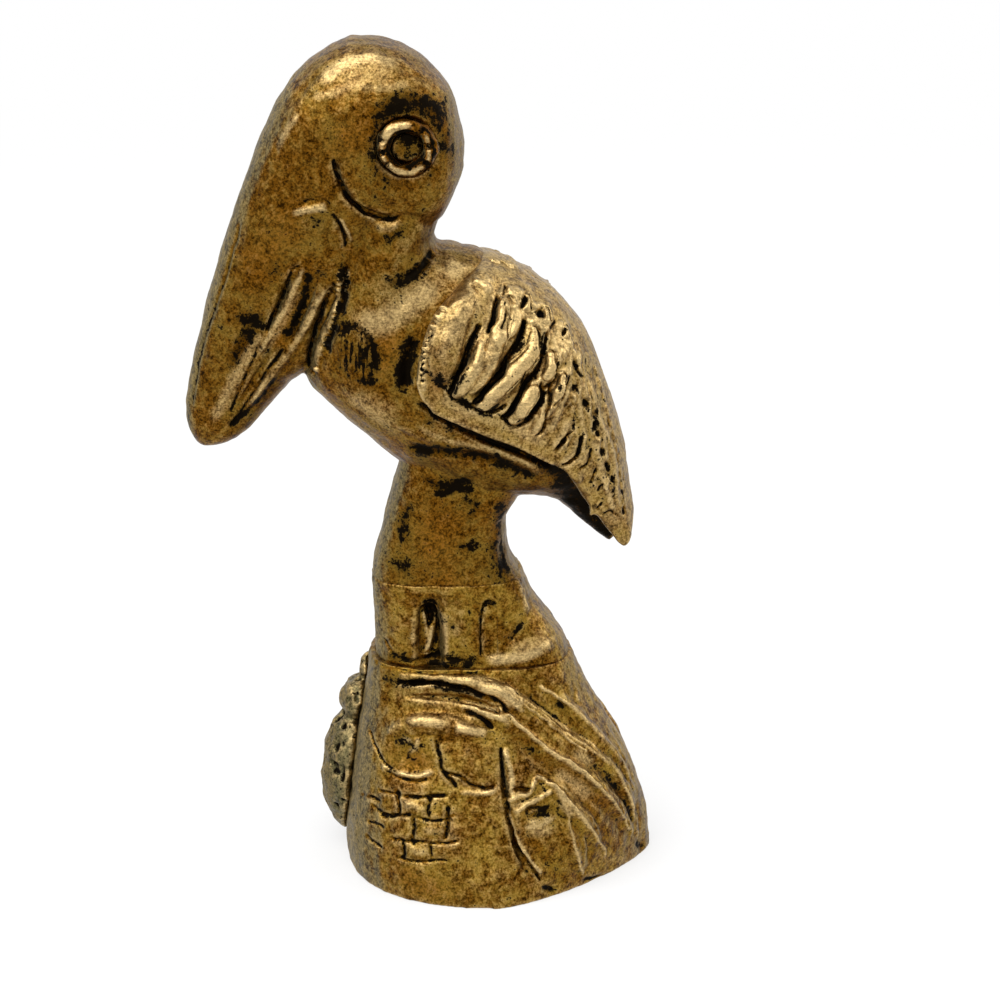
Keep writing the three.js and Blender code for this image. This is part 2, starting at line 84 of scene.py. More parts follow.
# Relief of the castings. A stroke's strength is the height of a ridge, or below zero the depth of a groove.
# Both flanks are worked alike.
BIRD_RELIEF = strokes(
    (35, 12, -108, 983, -131, 956, -145, 931, -157, 904),
    (50, 14, -108, 984, -87, 998, -62, 1006, -37, 1008, -14, 1003, 8, 990, 25, 973),
    (16, -17, -206, 809, -219, 765, -234, 717, -247, 684, -257, 651, -264, 616, -270, 584),
    (15, -45, -95, 895, -93, 882, -88, 868, -81, 853, -71, 840, -60, 830, -45, 824, -30, 823, -23, 825),
    (45, 22, -55, 819, -44, 813, -32, 811, -22, 816),
    (35, 35, -141, 831, -129, 835, -116, 838, -106, 840),
    (10, -22, -137, 838, -128, 844, -116, 848, -105, 846, -99, 837),
    (130, 30, -135, 822, -118, 821, -103, 819),
    (15, -50, -98, 830, -90, 818, -85, 805, -83, 789),
    (20, 25, -88, 823, -82, 809, -77, 796),
    (13, -42, -136, 765, -146, 760, -151, 746, -156, 732, -167, 708, -177, 685),
    (32, 24, -133, 760, -141, 743, -150, 721, -161, 701, -172, 681, -184, 660),
    (90, -28, -123, 755, -131, 734, -140, 712, -149, 689, -158, 670),
    (75, 22, -178, 681, -193, 660, -209, 633, -224, 605, -238, 579),
    (42, 26, -107, 739, -118, 720, -128, 699, -139, 679, -152, 658, -167, 637, -185, 613, -200, 592),
    (14, -50, -98, 743, -107, 724, -116, 699, -123, 678, -129, 655, -130, 639, -123, 632),
    (38, 40, -87, 756, -90, 735, -97, 713, -106, 692, -113, 671, -118, 649),
    (22, -40, -81, 762, -84, 736, -88, 712),
    (30, -35, -97, 694, -103, 680, -107, 665),
    (13, -40, -187, 668, -196, 645, -205, 624, -215, 600, -224, 579),
    (17, -45, -158, 662, -169, 646, -182, 629, -196, 605, -210, 581, -225, 560),
    (60, -30, -188, 700, -197, 688, -206, 670, -212, 649),
    (180, 25, -80, 683, -73, 668, -71, 649),
    (16, -20, -90, 690, -78, 697, -67, 694, -57, 683, -52, 669, -49, 655),
    (40, -45, 17, 776, 11, 769, 2, 762, -11, 754),
    (90, 20, 0, 814, -12, 797, -23, 777, -33, 761),
    (60, -50, -3, 684, -10, 666, -14, 647, -15, 628),
    (45, -40, -7, 548, 12, 546, 36, 544, 71, 540, 96, 532, 114, 521, 132, 509),
    (50, 20, -23, 578, 6, 564, 42, 561, 76, 554, 112, 538, 141, 518),
    (30, -60, 2, 607, 15, 598, 38, 582, 71, 565, 106, 549, 135, 534, 153, 524),
    (30, -15, 23, 508, 41, 500, 59, 499),
    (80, -25, 100, 412, 104, 389),
)
WING_RELIEF = strokes(
    (190, 30, 50, 737, 39, 714, 30, 687, 22, 662),
    (60, 30, 92, 761, 85, 755, 80, 745, 81, 734),
    (135, 45, 88, 690, 83, 677, 74, 659, 64, 646, 51, 634, 43, 626),
    (34, 35, 96, 728, 96, 718, 94, 708, 87, 700),
    (75, 45, 104, 753, 109, 742, 114, 732, 114, 725),
    (75, 42, 99, 733, 104, 724, 108, 713, 109, 703, 103, 695, 93, 692),
    (70, 42, 124, 743, 129, 738, 132, 727, 133, 716, 129, 708),
    (43, 26, 122, 720, 118, 708, 111, 696, 103, 684),
    (70, 45, 143, 726, 149, 719, 153, 711, 152, 702, 145, 696, 136, 701),
    (120, 48, 136, 695, 138, 682, 133, 671, 126, 661, 116, 655),
    (95, 45, 110, 653, 106, 641, 96, 631, 85, 622, 73, 613, 66, 610),
    (95, 48, 133, 635, 133, 626, 127, 617, 122, 608),
    (49, 35, 122, 604, 115, 594, 107, 590),
    (43, 31, 147, 616, 144, 603, 140, 590, 135, 578),
    (70, 42, 170, 702, 170, 697, 165, 686),
    (55, 40, 184, 682, 180, 677, 177, 670),
    (50, 38, 195, 661, 192, 658, 187, 653),
    (39, 31, 204, 641, 204, 631),
    (39, 31, 213, 615, 210, 610, 208, 605),
    (60, 40, 166, 676, 168, 666, 165, 660),
    (37, 26, 157, 683, 158, 668),
    (70, 45, 155, 665, 156, 654, 152, 644, 144, 638),
    (60, 42, 169, 642, 166, 629, 160, 617),
    (37, 25, 179, 667, 175, 654, 174, 639, 172, 622, 167, 609, 160, 594, 154, 579),
    (30, 22, 179, 663, 184, 647, 190, 630, 193, 614, 196, 598, 199, 581, 202, 566),
    (30, 25, 191, 641, 198, 623, 204, 606, 209, 587, 214, 567, 216, 547, 219, 530),
    (37, 25, 185, 624, 185, 607, 188, 589, 191, 573, 193, 560),
    (30, 22, 215, 509, 219, 495, 224, 476, 228, 462),
    (30, 22, 220, 562, 226, 537, 230, 511, 231, 485, 234, 465),
    (43, 25, 173, 584, 167, 572, 159, 559),
    (43, 25, 184, 559, 178, 546, 170, 536),
    (37, 18, 195, 543, 190, 533),
    (37, 22, 202, 556, 209, 541, 213, 521, 214, 503),
    (30, 18, 64, 755, 73, 746, 81, 738),
    (25, -77, 70, 704, 63, 692, 57, 678, 53, 665, 47, 651, 40, 637, 36, 628),
    (20, -51, 36, 628, 42, 621, 54, 615, 64, 609, 76, 605, 89, 605, 101, 611),
    (23, -68, 92, 731, 88, 719, 85, 707, 81, 697),
    (14, -42, 100, 729, 100, 721, 101, 711, 95, 702),
    (21, -64, 121, 745, 124, 738, 124, 730, 119, 718),
    (18, -42, 96, 759, 99, 751, 100, 739, 97, 730),
    (26, -80, 121, 703, 119, 692, 114, 682, 106, 672, 100, 663, 97, 652, 89, 644, 80, 634, 72, 623, 63, 614),
    (30, -60, 136, 708, 143, 705),
    (25, -51, 134, 733, 141, 731, 148, 725),
    (23, -72, 147, 687, 145, 675, 141, 663, 137, 652, 130, 644, 123, 636, 118, 624, 112, 613, 104, 602, 97,
     596),
    (30, -40, 127, 644, 137, 642),
    (29, -64, 141, 634, 143, 621, 137, 608, 130, 599, 125, 590),
    (16, -42, 151, 631, 152, 614, 148, 601, 146, 585, 143, 575, 136, 570),
    (18, -51, 100, 598, 106, 586, 115, 584, 124, 588),
    (20, -59, 175, 695, 172, 689, 166, 681),
    (25, -51, 159, 713, 158, 706, 157, 696, 151, 693),
    (20, -51, 186, 678, 184, 671, 179, 666),
    (18, -42, 176, 690, 174, 687),
    (20, -51, 197, 656, 195, 651, 190, 649),
    (18, -51, 199, 631, 205, 627),
    (20, -51, 215, 608, 214, 600, 214, 592),
    (20, -59, 160, 655, 158, 642, 152, 632, 146, 628),
    (20, -51, 173, 637, 171, 624, 165, 614, 158, 609),
    (18, -42, 154, 632, 150, 620),
    (16, -42, 179, 650, 184, 642, 190, 631),
    (29, -59, 182, 624, 182, 619),
    (29, -59, 193, 604, 196, 598),
    (18, -42, 171, 605, 175, 601, 180, 604),
    (20, -51, 206, 589, 205, 579, 203, 568),
    (20, -42, 179, 588, 179, 577),
    (23, -64, 180, 585, 179, 575, 173, 566, 166, 559, 160, 551),
    (21, -64, 190, 563, 187, 550, 184, 539, 177, 533, 168, 529),
    (16, -34, 201, 546, 200, 535, 196, 526, 188, 522),
    (16, -34, 208, 520, 205, 511, 200, 503),
    (14, -30, 216, 497, 210, 489),
    (16, -34, 215, 471, 210, 464),
    (14, -34, 218, 456, 226, 459, 234, 452),
    (23, -51, 222, 575, 225, 565),
    (23, -51, 227, 554, 231, 543),
    (21, -51, 208, 564, 211, 559),
    (23, -51, 213, 543, 215, 536),
    (23, -51, 219, 522, 221, 515),
    (20, -42, 228, 504, 228, 494),
    (20, -42, 227, 489, 228, 478),
    (21, -51, 233, 530, 235, 522),
    (21, -51, 237, 505, 239, 494),
    (21, -51, 240, 481, 240, 471),
    (21, -51, 243, 459, 243, 451),
    (18, -38, 16, 699, 10, 685, 5, 669, 4, 653, 4, 641),
    (20, -35, 55, 753, 62, 751),
)
STUMP_RELIEF = strokes(
    (40, 50, 12, 307, 9, 294, 6, 281),
    (14, -70, 3, 338, 10, 348, 16, 343, 18, 323, 20, 308),
    (30, -60, 8, 336, 11, 323, 9, 315),
    (18, 30, 2, 330, 5, 315, 4, 299),
    (11, -40, 71, 283, 70, 307, 71, 327, 75, 345, 82, 349, 89, 345),
    (45, 15, -54, 368, -32, 368, -1, 364, 34, 365),
    (30, 30, 114, 368, 122, 348, 125, 329),
    (12, -30, 106, 296, 113, 306, 120, 316),
    (60, 30, 84, 273, 106, 277, 132, 282, 152, 287),
    (130, 28, 112, 281, 136, 287, 157, 292),
    (16, -25, -44, 293, -32, 277, -14, 274),
    (20, -25, -24, 273, -2, 273, 22, 277, 58, 275),
    (120, 20, -26, 336, -24, 298),
    (100, 20, 43, 345, 44, 301),
)
ROCK_RELIEF = strokes(
    (22, -70, -28, 249, 4, 253, 28, 252, 52, 247, 70, 241, 88, 235, 102, 223),
    (20, -50, 58, 246, 74, 238, 90, 231),
    (50, 38, 44, 257, 70, 255, 88, 250, 106, 239, 120, 225),
    (25, 20, -24, 258, 13, 259, 46, 257),
    (40, 30, 52, 226, 70, 224, 88, 218, 102, 214),
    (25, -40, 54, 221, 70, 216, 84, 204),
    (45, 20, -10, 209, 8, 212, 22, 209),
    (240, 25, -20, 190, 22, 196, 76, 187),
    (130, -20, -24, 164, 4, 163),
    (15, 36, 100, 250, 136, 224, 166, 198, 191, 177, 211, 159, 234, 134, 249, 101, 259, 65, 263, 28),
    (15, 36, 102, 220, 124, 200, 148, 178, 172, 161, 196, 140, 221, 115, 240, 84, 254, 47),
    (15, 30, 142, 243, 166, 226, 182, 214, 203, 191, 224, 166, 244, 140, 258, 109),
    (15, 30, 138, 146, 160, 135, 174, 118, 193, 95, 211, 62, 222, 29),
    (15, 30, 156, 140, 172, 113, 180, 82, 187, 53, 193, 18),
    (15, 30, 106, 109, 114, 83, 126, 61, 142, 37),
    (25, 20, 188, 226, 188, 215),
    (80, -35, 120, 232, 150, 206, 181, 179, 212, 147, 235, 108, 250, 70, 257, 31),
    (80, -35, 112, 198, 136, 175, 162, 153, 196, 126, 222, 95, 242, 53),
    (80, -30, 160, 222, 188, 196, 218, 167, 240, 133, 253, 99),
    (70, -25, 166, 114, 187, 78, 200, 40),
    (70, -25, 184, 116, 205, 88, 224, 49),
    (60, -20, 127, 84, 148, 53, 169, 21),
    (12, -50, 95, 179, 96, 158, 100, 136, 104, 111, 108, 93, 116, 70, 126, 52, 143, 26),
    (30, 25, 101, 176, 107, 154, 110, 129),
    (26, 32, 102, 121, 116, 127, 128, 129, 137, 143),
    (28, 35, 114, 111, 130, 119, 143, 123, 155, 130),
    (20, -45, 111, 134, 119, 136, 129, 133),
    (16, -35, 126, 109, 132, 113, 142, 112),
    (45, 30, 130, 96, 142, 97, 153, 100),
    (50, 30, 166, 130, 184, 109, 200, 87),
    (14, -55, 17, 188, 22, 170, 25, 155, 40, 152, 50, 148, 58, 142, 72, 138, 87, 139),
    (18, -50, 26, 154, 34, 147, 41, 139),
    (12, -40, -63, 181, -57, 168, -46, 155, -30, 148),
    (35, 35, -44, 149, -24, 146, -4, 146, 10, 153),
    (30, 25, 49, 132, 68, 131, 87, 134),
    (25, -30, -55, 265, -26, 265, 10, 265, 46, 265, 80, 265),
    (35, -40, 148, 16, 158, 7),
    (30, -35, 197, 7, 216, 1),
    (40, -50, 264, 19, 270, 7),
    (160, -20, 58, 135, 64, 92, 70, 58),
    (40, 30, 44, 204, 58, 202, 75, 198),
    (22, -30, -43, 148, -28, 143, -11, 142, 5, 145),
    (25, 25, 166, 165, 196, 140, 212, 123),
    (12, 25, 118, 234, 143, 213, 170, 190, 200, 163),
    (35, 25, -2, 187, -7, 177, -14, 172),
)
ROCK_CUTS = strokes(
    (13, -45, -51, 121, -38, 123, -26, 123),
    (14, -50, -21, 122, -1, 125, 31, 129),
    (15, -50, -46, 96, -21, 101, -13, 103),
    (12, -40, -4, 102, 19, 101, 40, 107),
    (15, -50, -36, 72, -11, 74, 5, 75),
    (13, -45, 10, 75, 27, 76, 44, 79),
    (12, -40, -28, 51, -2, 51, 29, 57),
    (15, -50, -30, 121, -27, 113, -28, 101),
    (13, -45, 10, 122, 8, 113, 9, 105),
    (15, -50, -10, 100, -9, 89, -11, 78),
    (20, -50, 31, 117, 32, 104, 29, 82),
    (15, -45, -22, 70, -21, 55),
    (13, -45, 11, 72, 13, 58),
    (28, -65, -30, 125, -28, 122),
    (24, -60, 9, 126, 10, 122),
    (30, -70, -11, 76, -10, 73),
    (30, -70, 31, 105, 31, 101),
    (26, -60, -24, 53, -22, 51),
    (26, -60, -47, 95, -43, 95),
    (50, 20, -20, 112, -2, 113),
    (50, 20, 4, 89, 20, 89),
    (50, 22, -11, 62, 5, 64),
    (14, -40, -73, 106, -63, 109, -51, 109),
    (14, -40, -64, 81, -56, 82, -47, 82),
    (14, -40, -68, 62, -59, 60, -49, 57),
    (12, -35, -61, 100, -52, 98, -46, 98),
)

# Places that are filled up, raised or evened.
STUMP_FILLS = strokes(
    (165, 100, 80, 357, 80, 269),
    (165, 85, 8, 320, 8, 269),
    (165, 30, 8, 355, 8, 318),
)
BACK_LIFTS = strokes(
    (210, 62, 50, 768, 66, 762, 86, 753),
)
WING_EVENED = strokes(
    (110, 100, 164, 524, 185, 492, 204, 464, 225, 434, 237, 420),
    (160, 100, 201, 472, 208, 456),
    (190, 100, 230, 430, 238, 419),
)

# Tones of the metal: stains in recesses together with painted shade under the wing and beside the leg, warm
# patches, places that handling has rubbed bright together with painted highlights, patches of fine hatching,
# and a painted grey reflection on the sides that face along the figure. A stroke's strength is how much of
# the tone it leaves.
BIRD_TONES = {
    "stain": strokes(
        (90, 60, -44, 935, -49, 910, -45, 888, -32, 872, -12, 866),
        (90, 45, 10, 873, 24, 886),
        # Painted shade: the black line and widening wedge under the wing's lower edge, down to the tail.
        (60, 95, 12, 597, 37, 585, 74, 568, 112, 552, 147, 530),
        (140, 101, 140, 530, 166, 512, 186, 474, 200, 452),
        (190, 101, 166, 502, 183, 468, 205, 436, 224, 414),
        (80, 35, -49, 853, -34, 860),
        (50, 50, -78, 828, -45, 814),
        (70, 60, -41, 797, -18, 809),
        (40, 50, -141, 843, -120, 850),
        (120, 40, -166, 770, -154, 754),
        (60, 30, -124, 826, -109, 822),
        (80, 60, -120, 760, -110, 753),
        (70, 70, -83, 768, -81, 755),
        (120, 50, -160, 769, -168, 757, -180, 748),
        (80, 60, -69, 637, -50, 628),
        (70, 76, -7, 689, -15, 674, -19, 648, -18, 630),
        (90, 76, 13, 778, 15, 770, 6, 762, -9, 754, -26, 747),
        (60, 70, -35, 752, -22, 748, -15, 753),
        (90, 84, -5, 541, 23, 547, 40, 545),
        (40, 60, 4, 586, 33, 577, 42, 568),
        (60, 90, 4, 505, 25, 496, 43, 500, 58, 507),
        (50, 90, 18, 488, 27, 487, 46, 494, 61, 488),
        (80, 55, -14, 472, -19, 453, -21, 435, -18, 423),
        (100, 63, -26, 397, -15, 387),
        (60, 65, 49, 477, 64, 474, 67, 464, 54, 454),
        (60, 70, 47, 418, 59, 416, 64, 422),
        # Painted shade down the leg's back edge.
        (150, 84, 97, 428, 97, 411, 100, 394, 93, 387),
        (90, 50, -120, 759, -125, 743, -130, 730),
        (60, 100, -134, 728, -139, 709, -147, 688, -153, 676),
        (45, 90, -83, 765, -85, 736, -88, 709),
        (45, 90, -96, 697, -102, 682, -107, 665),
        (60, 80, -95, 690, -79, 696, -65, 693, -55, 680, -49, 664, -51, 650),
        (80, 80, -5, 682, -12, 665, -18, 646, -21, 628),
        (70, 60, -44, 945, -47, 928, -47, 908, -39, 889),
        (140, 30, -52, 868, -41, 854, -34, 844),
        (50, 50, -24, 866, -15, 864, -8, 867),
        (135, 84, -45, 941, -33, 954, -12, 960, 8, 956, 23, 945, 30, 928),
        (110, 76, 29, 959, 40, 938, 45, 913, 37, 899),
        (100, 92, -211, 699, -196, 699, -184, 692),
        (95, 92, -194, 688, -203, 671, -212, 657, -218, 643),
        (220, 30, -82, 675, -74, 656, -78, 633),
        (90, 84, -7, 548, 12, 546, 41, 545, 76, 539, 103, 529, 122, 517),
        (16, 90, -93, 882, -88, 868, -81, 853, -71, 840, -60, 830, -45, 824),
        (210, 67, -19, 911, -7, 911),
        (100, 126, -15, 922, -6, 923),
        (70, 84, -29, 906, -23, 899),
        # Painted shade down the leg's back edge.
        (90, 84, 95, 476, 95, 431, 95, 401, 101, 377),
        (130, 35, 5, 484, 23, 472, 41, 452),
        (150, 30, -31, 399, -13, 389, 11, 383),
        (80, 35, -195, 759, -188, 735, -182, 717),
        (160, 25, -101, 804, -79, 778, -61, 765),
        (60, 95, -127, 758, -132, 730, -147, 689, -156, 676),
        (35, 85, -89, 767, -88, 732, -98, 698, -103, 672),
        (30, 100, -170, 623, -186, 600, -207, 578, -224, 559),
        (50, 60, 8, 802, 15, 785),
        (50, 80, -43, 947, -48, 934, -49, 918),
        (75, 75, 37, 955, 39, 937, 35, 920, 29, 906),
    ),
    "warmth": strokes(
        (240, 48, -96, 915, -69, 924, -50, 940),
        (180, 42, -206, 786, -195, 772, -187, 753),
        (160, 36, -135, 843, -159, 820, -186, 798),
        (140, 54, -43, 688, -36, 669, -40, 647),
        (80, 48, -142, 724, -152, 704, -166, 668),
        (260, 54, 22, 467, 19, 437, 15, 399),
        (160, 48, 12, 374, 43, 378),
        (200, 45, -135, 816, -165, 797, -180, 769, -186, 735),
        (150, 40, -27, 690, -31, 666, -33, 643),
    ),
    # Rubbed places together with painted highlights on the crown, the chest and the mantle, where the lamp
    # above falls.
    "wear": strokes(
        (80, 90, -107, 983, -84, 1000, -62, 1007, -43, 1008, -24, 1003),
        (60, 50, -118, 965, -95, 970, -72, 980, -50, 977, -24, 979, -9, 981),
        (50, 70, 4, 991, 26, 974),
        (220, 45, -91, 984, -61, 992, -24, 993),
        (35, 70, -137, 943, -149, 924, -158, 906),
        (40, 90, -141, 831, -130, 834, -116, 836, -107, 836),
        (170, 70, -68, 705, -47, 703, -24, 715, 1, 733, 20, 744),
        (80, 30, 30, 850, 11, 825, -5, 804, -18, 783),
        (60, 40, 0, 575, 33, 563, 71, 551),
        (150, 30, -93, 619, -54, 608, -25, 596),
        (160, 50, -78, 613, -52, 593, -29, 576),
        (180, 85, 28, 763, 45, 765, 59, 763),
        (75, 55, -182, 681, -198, 658, -215, 628, -231, 595, -243, 571),
        (50, 50, 1, 574, 36, 561, 76, 552, 112, 538),
        (50, 40, -137, 734, -152, 706, -167, 678, -184, 650),
        (220, 35, -50, 746, -21, 738, 8, 729),
        (200, 50, 30, 764, 53, 765, 73, 758),
        (160, 40, -39, 729, -15, 720, 2, 716),
        (260, 45, 36, 764, 38, 763),
        (180, 25, -75, 606, -52, 593, -23, 578),
        (130, 35, -68, 694, -62, 677),
        (260, 50, 30, 767, 42, 760),
        (220, 40, -39, 706, -21, 729, 2, 740),
        (150, 30, 13, 588, 42, 573),
        (240, 45, -39, 712, -18, 732, 8, 743),
    ),
    "hatch": strokes(
        (230, 100, -77, 686, -72, 664, -68, 640),
    ),
    # A painted grey reflection down the front edge of the bill.
    "dull": strokes(
        (80, 95, -215, 817, -229, 775, -242, 732, -254, 681, -268, 625, -276, 581),
    ),
}
WING_TONES = {
    "stain": strokes(
        (100, 75, 19, 652, 28, 639),
        (60, 50, 36, 623, 63, 607, 89, 602),
        (80, 50, 179, 688, 194, 660, 212, 621),
        (70, 45, 18, 655, 30, 639, 42, 635),
        # From here on: the black gaps beside the feathers, painted shade together with patina in the gaps.
        (42, 110, 69, 702, 62, 684, 55, 665, 46, 645, 39, 628),
        (30, 100, 91, 727, 87, 714, 82, 701),
        (25, 62, 121, 739, 119, 727, 116, 722),
        (45, 110, 121, 683, 110, 674, 101, 664, 95, 653),
        (38, 100, 94, 654, 87, 641, 77, 634),
        (28, 100, 94, 615, 78, 606, 61, 612, 42, 625),
        (42, 110, 146, 688, 144, 671, 140, 655, 131, 644),
        (20, 110, 122, 649, 117, 629, 108, 611, 100, 599),
        (35, 100, 146, 624, 140, 609, 129, 598, 115, 591),
        (35, 62, 129, 710, 142, 710),
        (35, 62, 163, 710, 159, 705),
        (25, 100, 164, 686, 171, 687, 176, 689),
        (25, 90, 166, 641, 161, 617),
        (20, 90, 178, 651, 184, 640),
        (20, 90, 182, 625, 185, 615),
        (20, 90, 193, 604, 197, 594),
        (20, 90, 209, 599, 206, 567),
        (20, 80, 181, 585, 176, 565),
    ),
    "warmth": strokes(
        (130, 80, 13, 651, 27, 646, 19, 629),
        (120, 70, 16, 659, 25, 645, 39, 639),
    ),
    # Rubbed places together with painted highlights on the shoulder and along the feathers' crests.
    "wear": strokes(
        (190, 72, 74, 734, 55, 723, 38, 704, 31, 686),
        (90, 40, 19, 610, 42, 602, 74, 592, 109, 576, 138, 561),
        (45, 80, 47, 742, 29, 724, 15.5, 699, 7.5, 674, 5.5, 646, 6.5, 632),
        (160, 35, 59, 614, 94, 584, 129, 560, 158, 541),
        (120, 35, 209, 504, 222, 461, 235, 433),
        (110, 60, 25, 622, 50, 608, 82, 595, 117, 579, 150, 559),
        (150, 50, 69, 755, 78, 764, 94, 760),
        (55, 100, 71, 664, 60, 647, 46, 632),
        (70, 70, 91, 685, 81, 670),
        (55, 90, 106, 748, 107, 727),
        (60, 80, 97, 705, 110, 705),
        (50, 90, 132, 731, 132, 717),
        (50, 90, 155, 717, 151, 704),
        (55, 90, 169, 701, 166, 689),
        (60, 100, 138, 690, 130, 675, 117, 659, 100, 643, 84, 625, 69, 614),
        (55, 90, 136, 634, 129, 618),
        (50, 90, 153, 657, 148, 643),
        (40, 80, 165, 632, 161, 619),
        (40, 70, 167, 671, 167, 662),
        (35, 70, 184, 679, 179, 675),
        (220, 35, 129, 567, 176, 509),
        (220, 50, 46, 733, 39, 709, 39, 683),
        (180, 50, 82, 763, 69, 761, 59, 751),
    ),
    "hatch": strokes(
        (180, 40, 206, 610, 218, 555, 230, 495, 242, 445),
    ),
}
STUMP_TONES = {
    "stain": strokes(
        (50, 90, 3, 345, 12, 346, 18, 329, 20, 320),
        (30, 90, 19, 312, 18, 299, 19, 294),
        (30, 90, 75, 346, 87, 345),
        (60, 45, -22, 301, -10, 312),
        (50, 50, 39, 315, 33, 322),
        (50, 60, 97, 299, 114, 311, 120, 318),
        (70, 80, 2, 266, 23, 268, 43, 274, 61, 273),
        (90, 50, -26, 276, 2, 276),
        (60, 60, -41, 273, -14, 274, 22, 277, 70, 276),
        (75, 110, 6, 345, 11, 329),
        (35, 90, 18, 320, 20, 301),
    ),
    # Painted highlights on the shelf at the stump's foot, and a rubbed place.
    "wear": strokes(
        (70, 90, 82, 278, 104, 279, 125, 281, 145, 286),
        (40, 50, 21, 338, 26, 319),
        (120, 50, 106, 287, 136, 291, 160, 295),
    ),
}
ROCK_TONES = {
    "stain": strokes(
        (50, 100, -26, 247, 2, 252, 37, 248, 78, 239),
        (90, 50, -45, 254, -34, 246, -26, 254),
        (80, 50, -33, 186, -17, 183, -17, 173),
        (100, 45, 122, 184, 142, 162, 158, 147),
        (90, 40, 167, 166, 188, 155),
        (70, 60, 129, 106, 144, 108, 155, 109),
        (80, 35, 9, 94, 22, 90, 14, 102),
    ),
    "warmth": strokes(
        (220, 60, -23, 167, -9, 159, -26, 144),
        (160, 50, 167, 147, 194, 118, 216, 96),
        (180, 50, -28, 30, 0, 21, 28, 17),
    ),
    # Painted highlights on the ridges and on the block's brow, together with rubbed places.
    "wear": strokes(
        (80, 95, 70, 251, 84, 247, 98, 239, 110, 232),
        (50, 80, -1, 257, 23, 257, 50, 256, 71, 254),
        (60, 80, 61, 223, 85, 221, 93, 218),
        (40, 90, -23, 186, -13, 185),
        (40, 90, 126, 93, 139, 92, 148, 95, 158, 99),
        (50, 50, 106, 117, 125, 120, 136, 120, 147, 131),
        (160, 35, -40, 238, 2, 236, 43, 228),
        (50, 90, 1, 210, 18, 213),
        (45, 90, 46, 207, 64, 203),
        (80, 60, 184, 165, 205, 146),
        (100, 55, 161, 147, 184, 129, 203, 111),
        (60, 70, 168, 116, 182, 99),
        (90, 55, 130, 86, 158, 86),
        (60, 50, 213, 181, 231, 157),
        (60, 60, 78, 251, 101, 242),
        (70, 35, 215, 33, 248, 4),
    ),
}

# Side-view routes of the rows of teeth and scales, in millimetres.
BILL_TEETH = ((-9, 75.7), (-9.7, 70.5), (-11.4, 65.7), (-11.9, 64))
WING_FRONT = (
    (2.9, 72.4), (2.1, 71.1), (1.55, 69.9), (1.1, 68.7), (0.75, 67.4), (0.6, 66), (0.55, 64.6), (0.65, 63.2)
)
SCALE_EDGES = (
    ((21.2, 63), (22.4, 59), (23.4, 55), (24, 50.5), (24.3, 47)),
    ((16.2, 63), (17.2, 59.5), (18.4, 55.5), (20.6, 51.5), (23.2, 48)),
)

# The eye ring's middle, and its strokes. The lip, the stains and the wear run in arcs, with a radius and two
# angles, and the notches run straight out, with an angle and two radii.
EYE = (-1.3, 91.1)
EYE_LIP = ((0.2, -0.25, (2.0, 0, 345)),)
EYE_NOTCHES = (
    (0.42, -0.7, (-38, 2.0, 3.3)),
    (0.3, -0.5, (8, 2.4, 3.3)),
    (0.34, -0.55, (190, 2.3, 3.2)),
    (0.3, -0.5, (48, 2.3, 3.2)),
    (0.22, -0.4, (158, 2.6, 3.3)),
    (0.22, -0.4, (222, 2.6, 3.3)),
)
EYE_STAINS = ((0.4, 1.1, (1.95, 0, 345)), (0.26, 0.9, (3.25, -60, 60)), (0.26, 0.9, (3.25, 150, 260)))
EYE_WEARS = (
    (0.45, 1.2, (2.7, 85, 165)),
    (0.36, 1.15, (2.75, 225, 310)),
    (0.2, 0.8, (2.7, 170, 215)),
    (0.22, 0.8, (2.75, -35, 35)),
)


# Working a surface

# A stroke's section: how many half widths it reaches, and the power that it falls off with.
SOFT = (1.7, 2)
CRISP = (1.3, 4)
CRISP_FROM = 0.36  # the height of a ridge above which its section is crisp
# Half widths between which a ridge, and a groove, stops to mark the metal.
MARKING_RIDGE, MARKING_GROOVE = (1.7, 0.6), (0.85, 0.4)
# Directions of looking sideways and up, and heights, between which a wing's rim is evened.
RIM_SIDEWAYS, RIM_UP, RIM_HEIGHT = (0.68, 0.46), (0.0, 0.3), (56, 60)
# Heights, and places along the figure, between which a wing runs into the shoulder.
SHOULDER_HEIGHT, SHOULDER_PLACE = (68.5, 73), (13, 9)
LUMP_SIZES = ((3.2, 0.09), (1.3, 0.07), (0.55, 0.03))  # size and depth of a casting's unevenness
SEAM_BAND = (1.3, 0.3)  # distances from a seam between which the cut shape comes back
SEAM_FACE = 0.12  # how far a face on a seam is moved out, so that the castings meet
CLOSE, WIDE = 3, 24  # passes of easing that show small and large hollows
BOX_GAP, FLOOR_GAP = 0.02, 0.001  # what stays free inside the CAD box
WELD = 1e-6  # metres between vertices that are one


def soft_step(low, high, value):
    """From 0 to 1 as a value goes from low to high, with soft ends."""
    share = np.clip((value - low) / (high - low), 0, 1)
    return share * share * (3 - 2 * share)


def lumps(points, size, seed):
    """Smooth random values from -1 to 1 at points, with lumps of the given size."""
    grid = points / size
    cell = np.floor(grid).astype(np.int64)
    share = grid - cell
    share = share * share * (3 - 2 * share)
    total = np.zeros(len(points))
    primes = np.array((73856093, 19349663, 83492791))
    for corner in itertools.product((0, 1), repeat=3):
        key = (cell + corner) @ primes + seed * 7919
        key = ((key >> 13) ^ key) * 1274126177
        value = ((key >> 16) & 0xFFFF) / 32767.5 - 1
        total += value * np.prod(np.where(corner, share, 1 - share), axis=1)
    return total


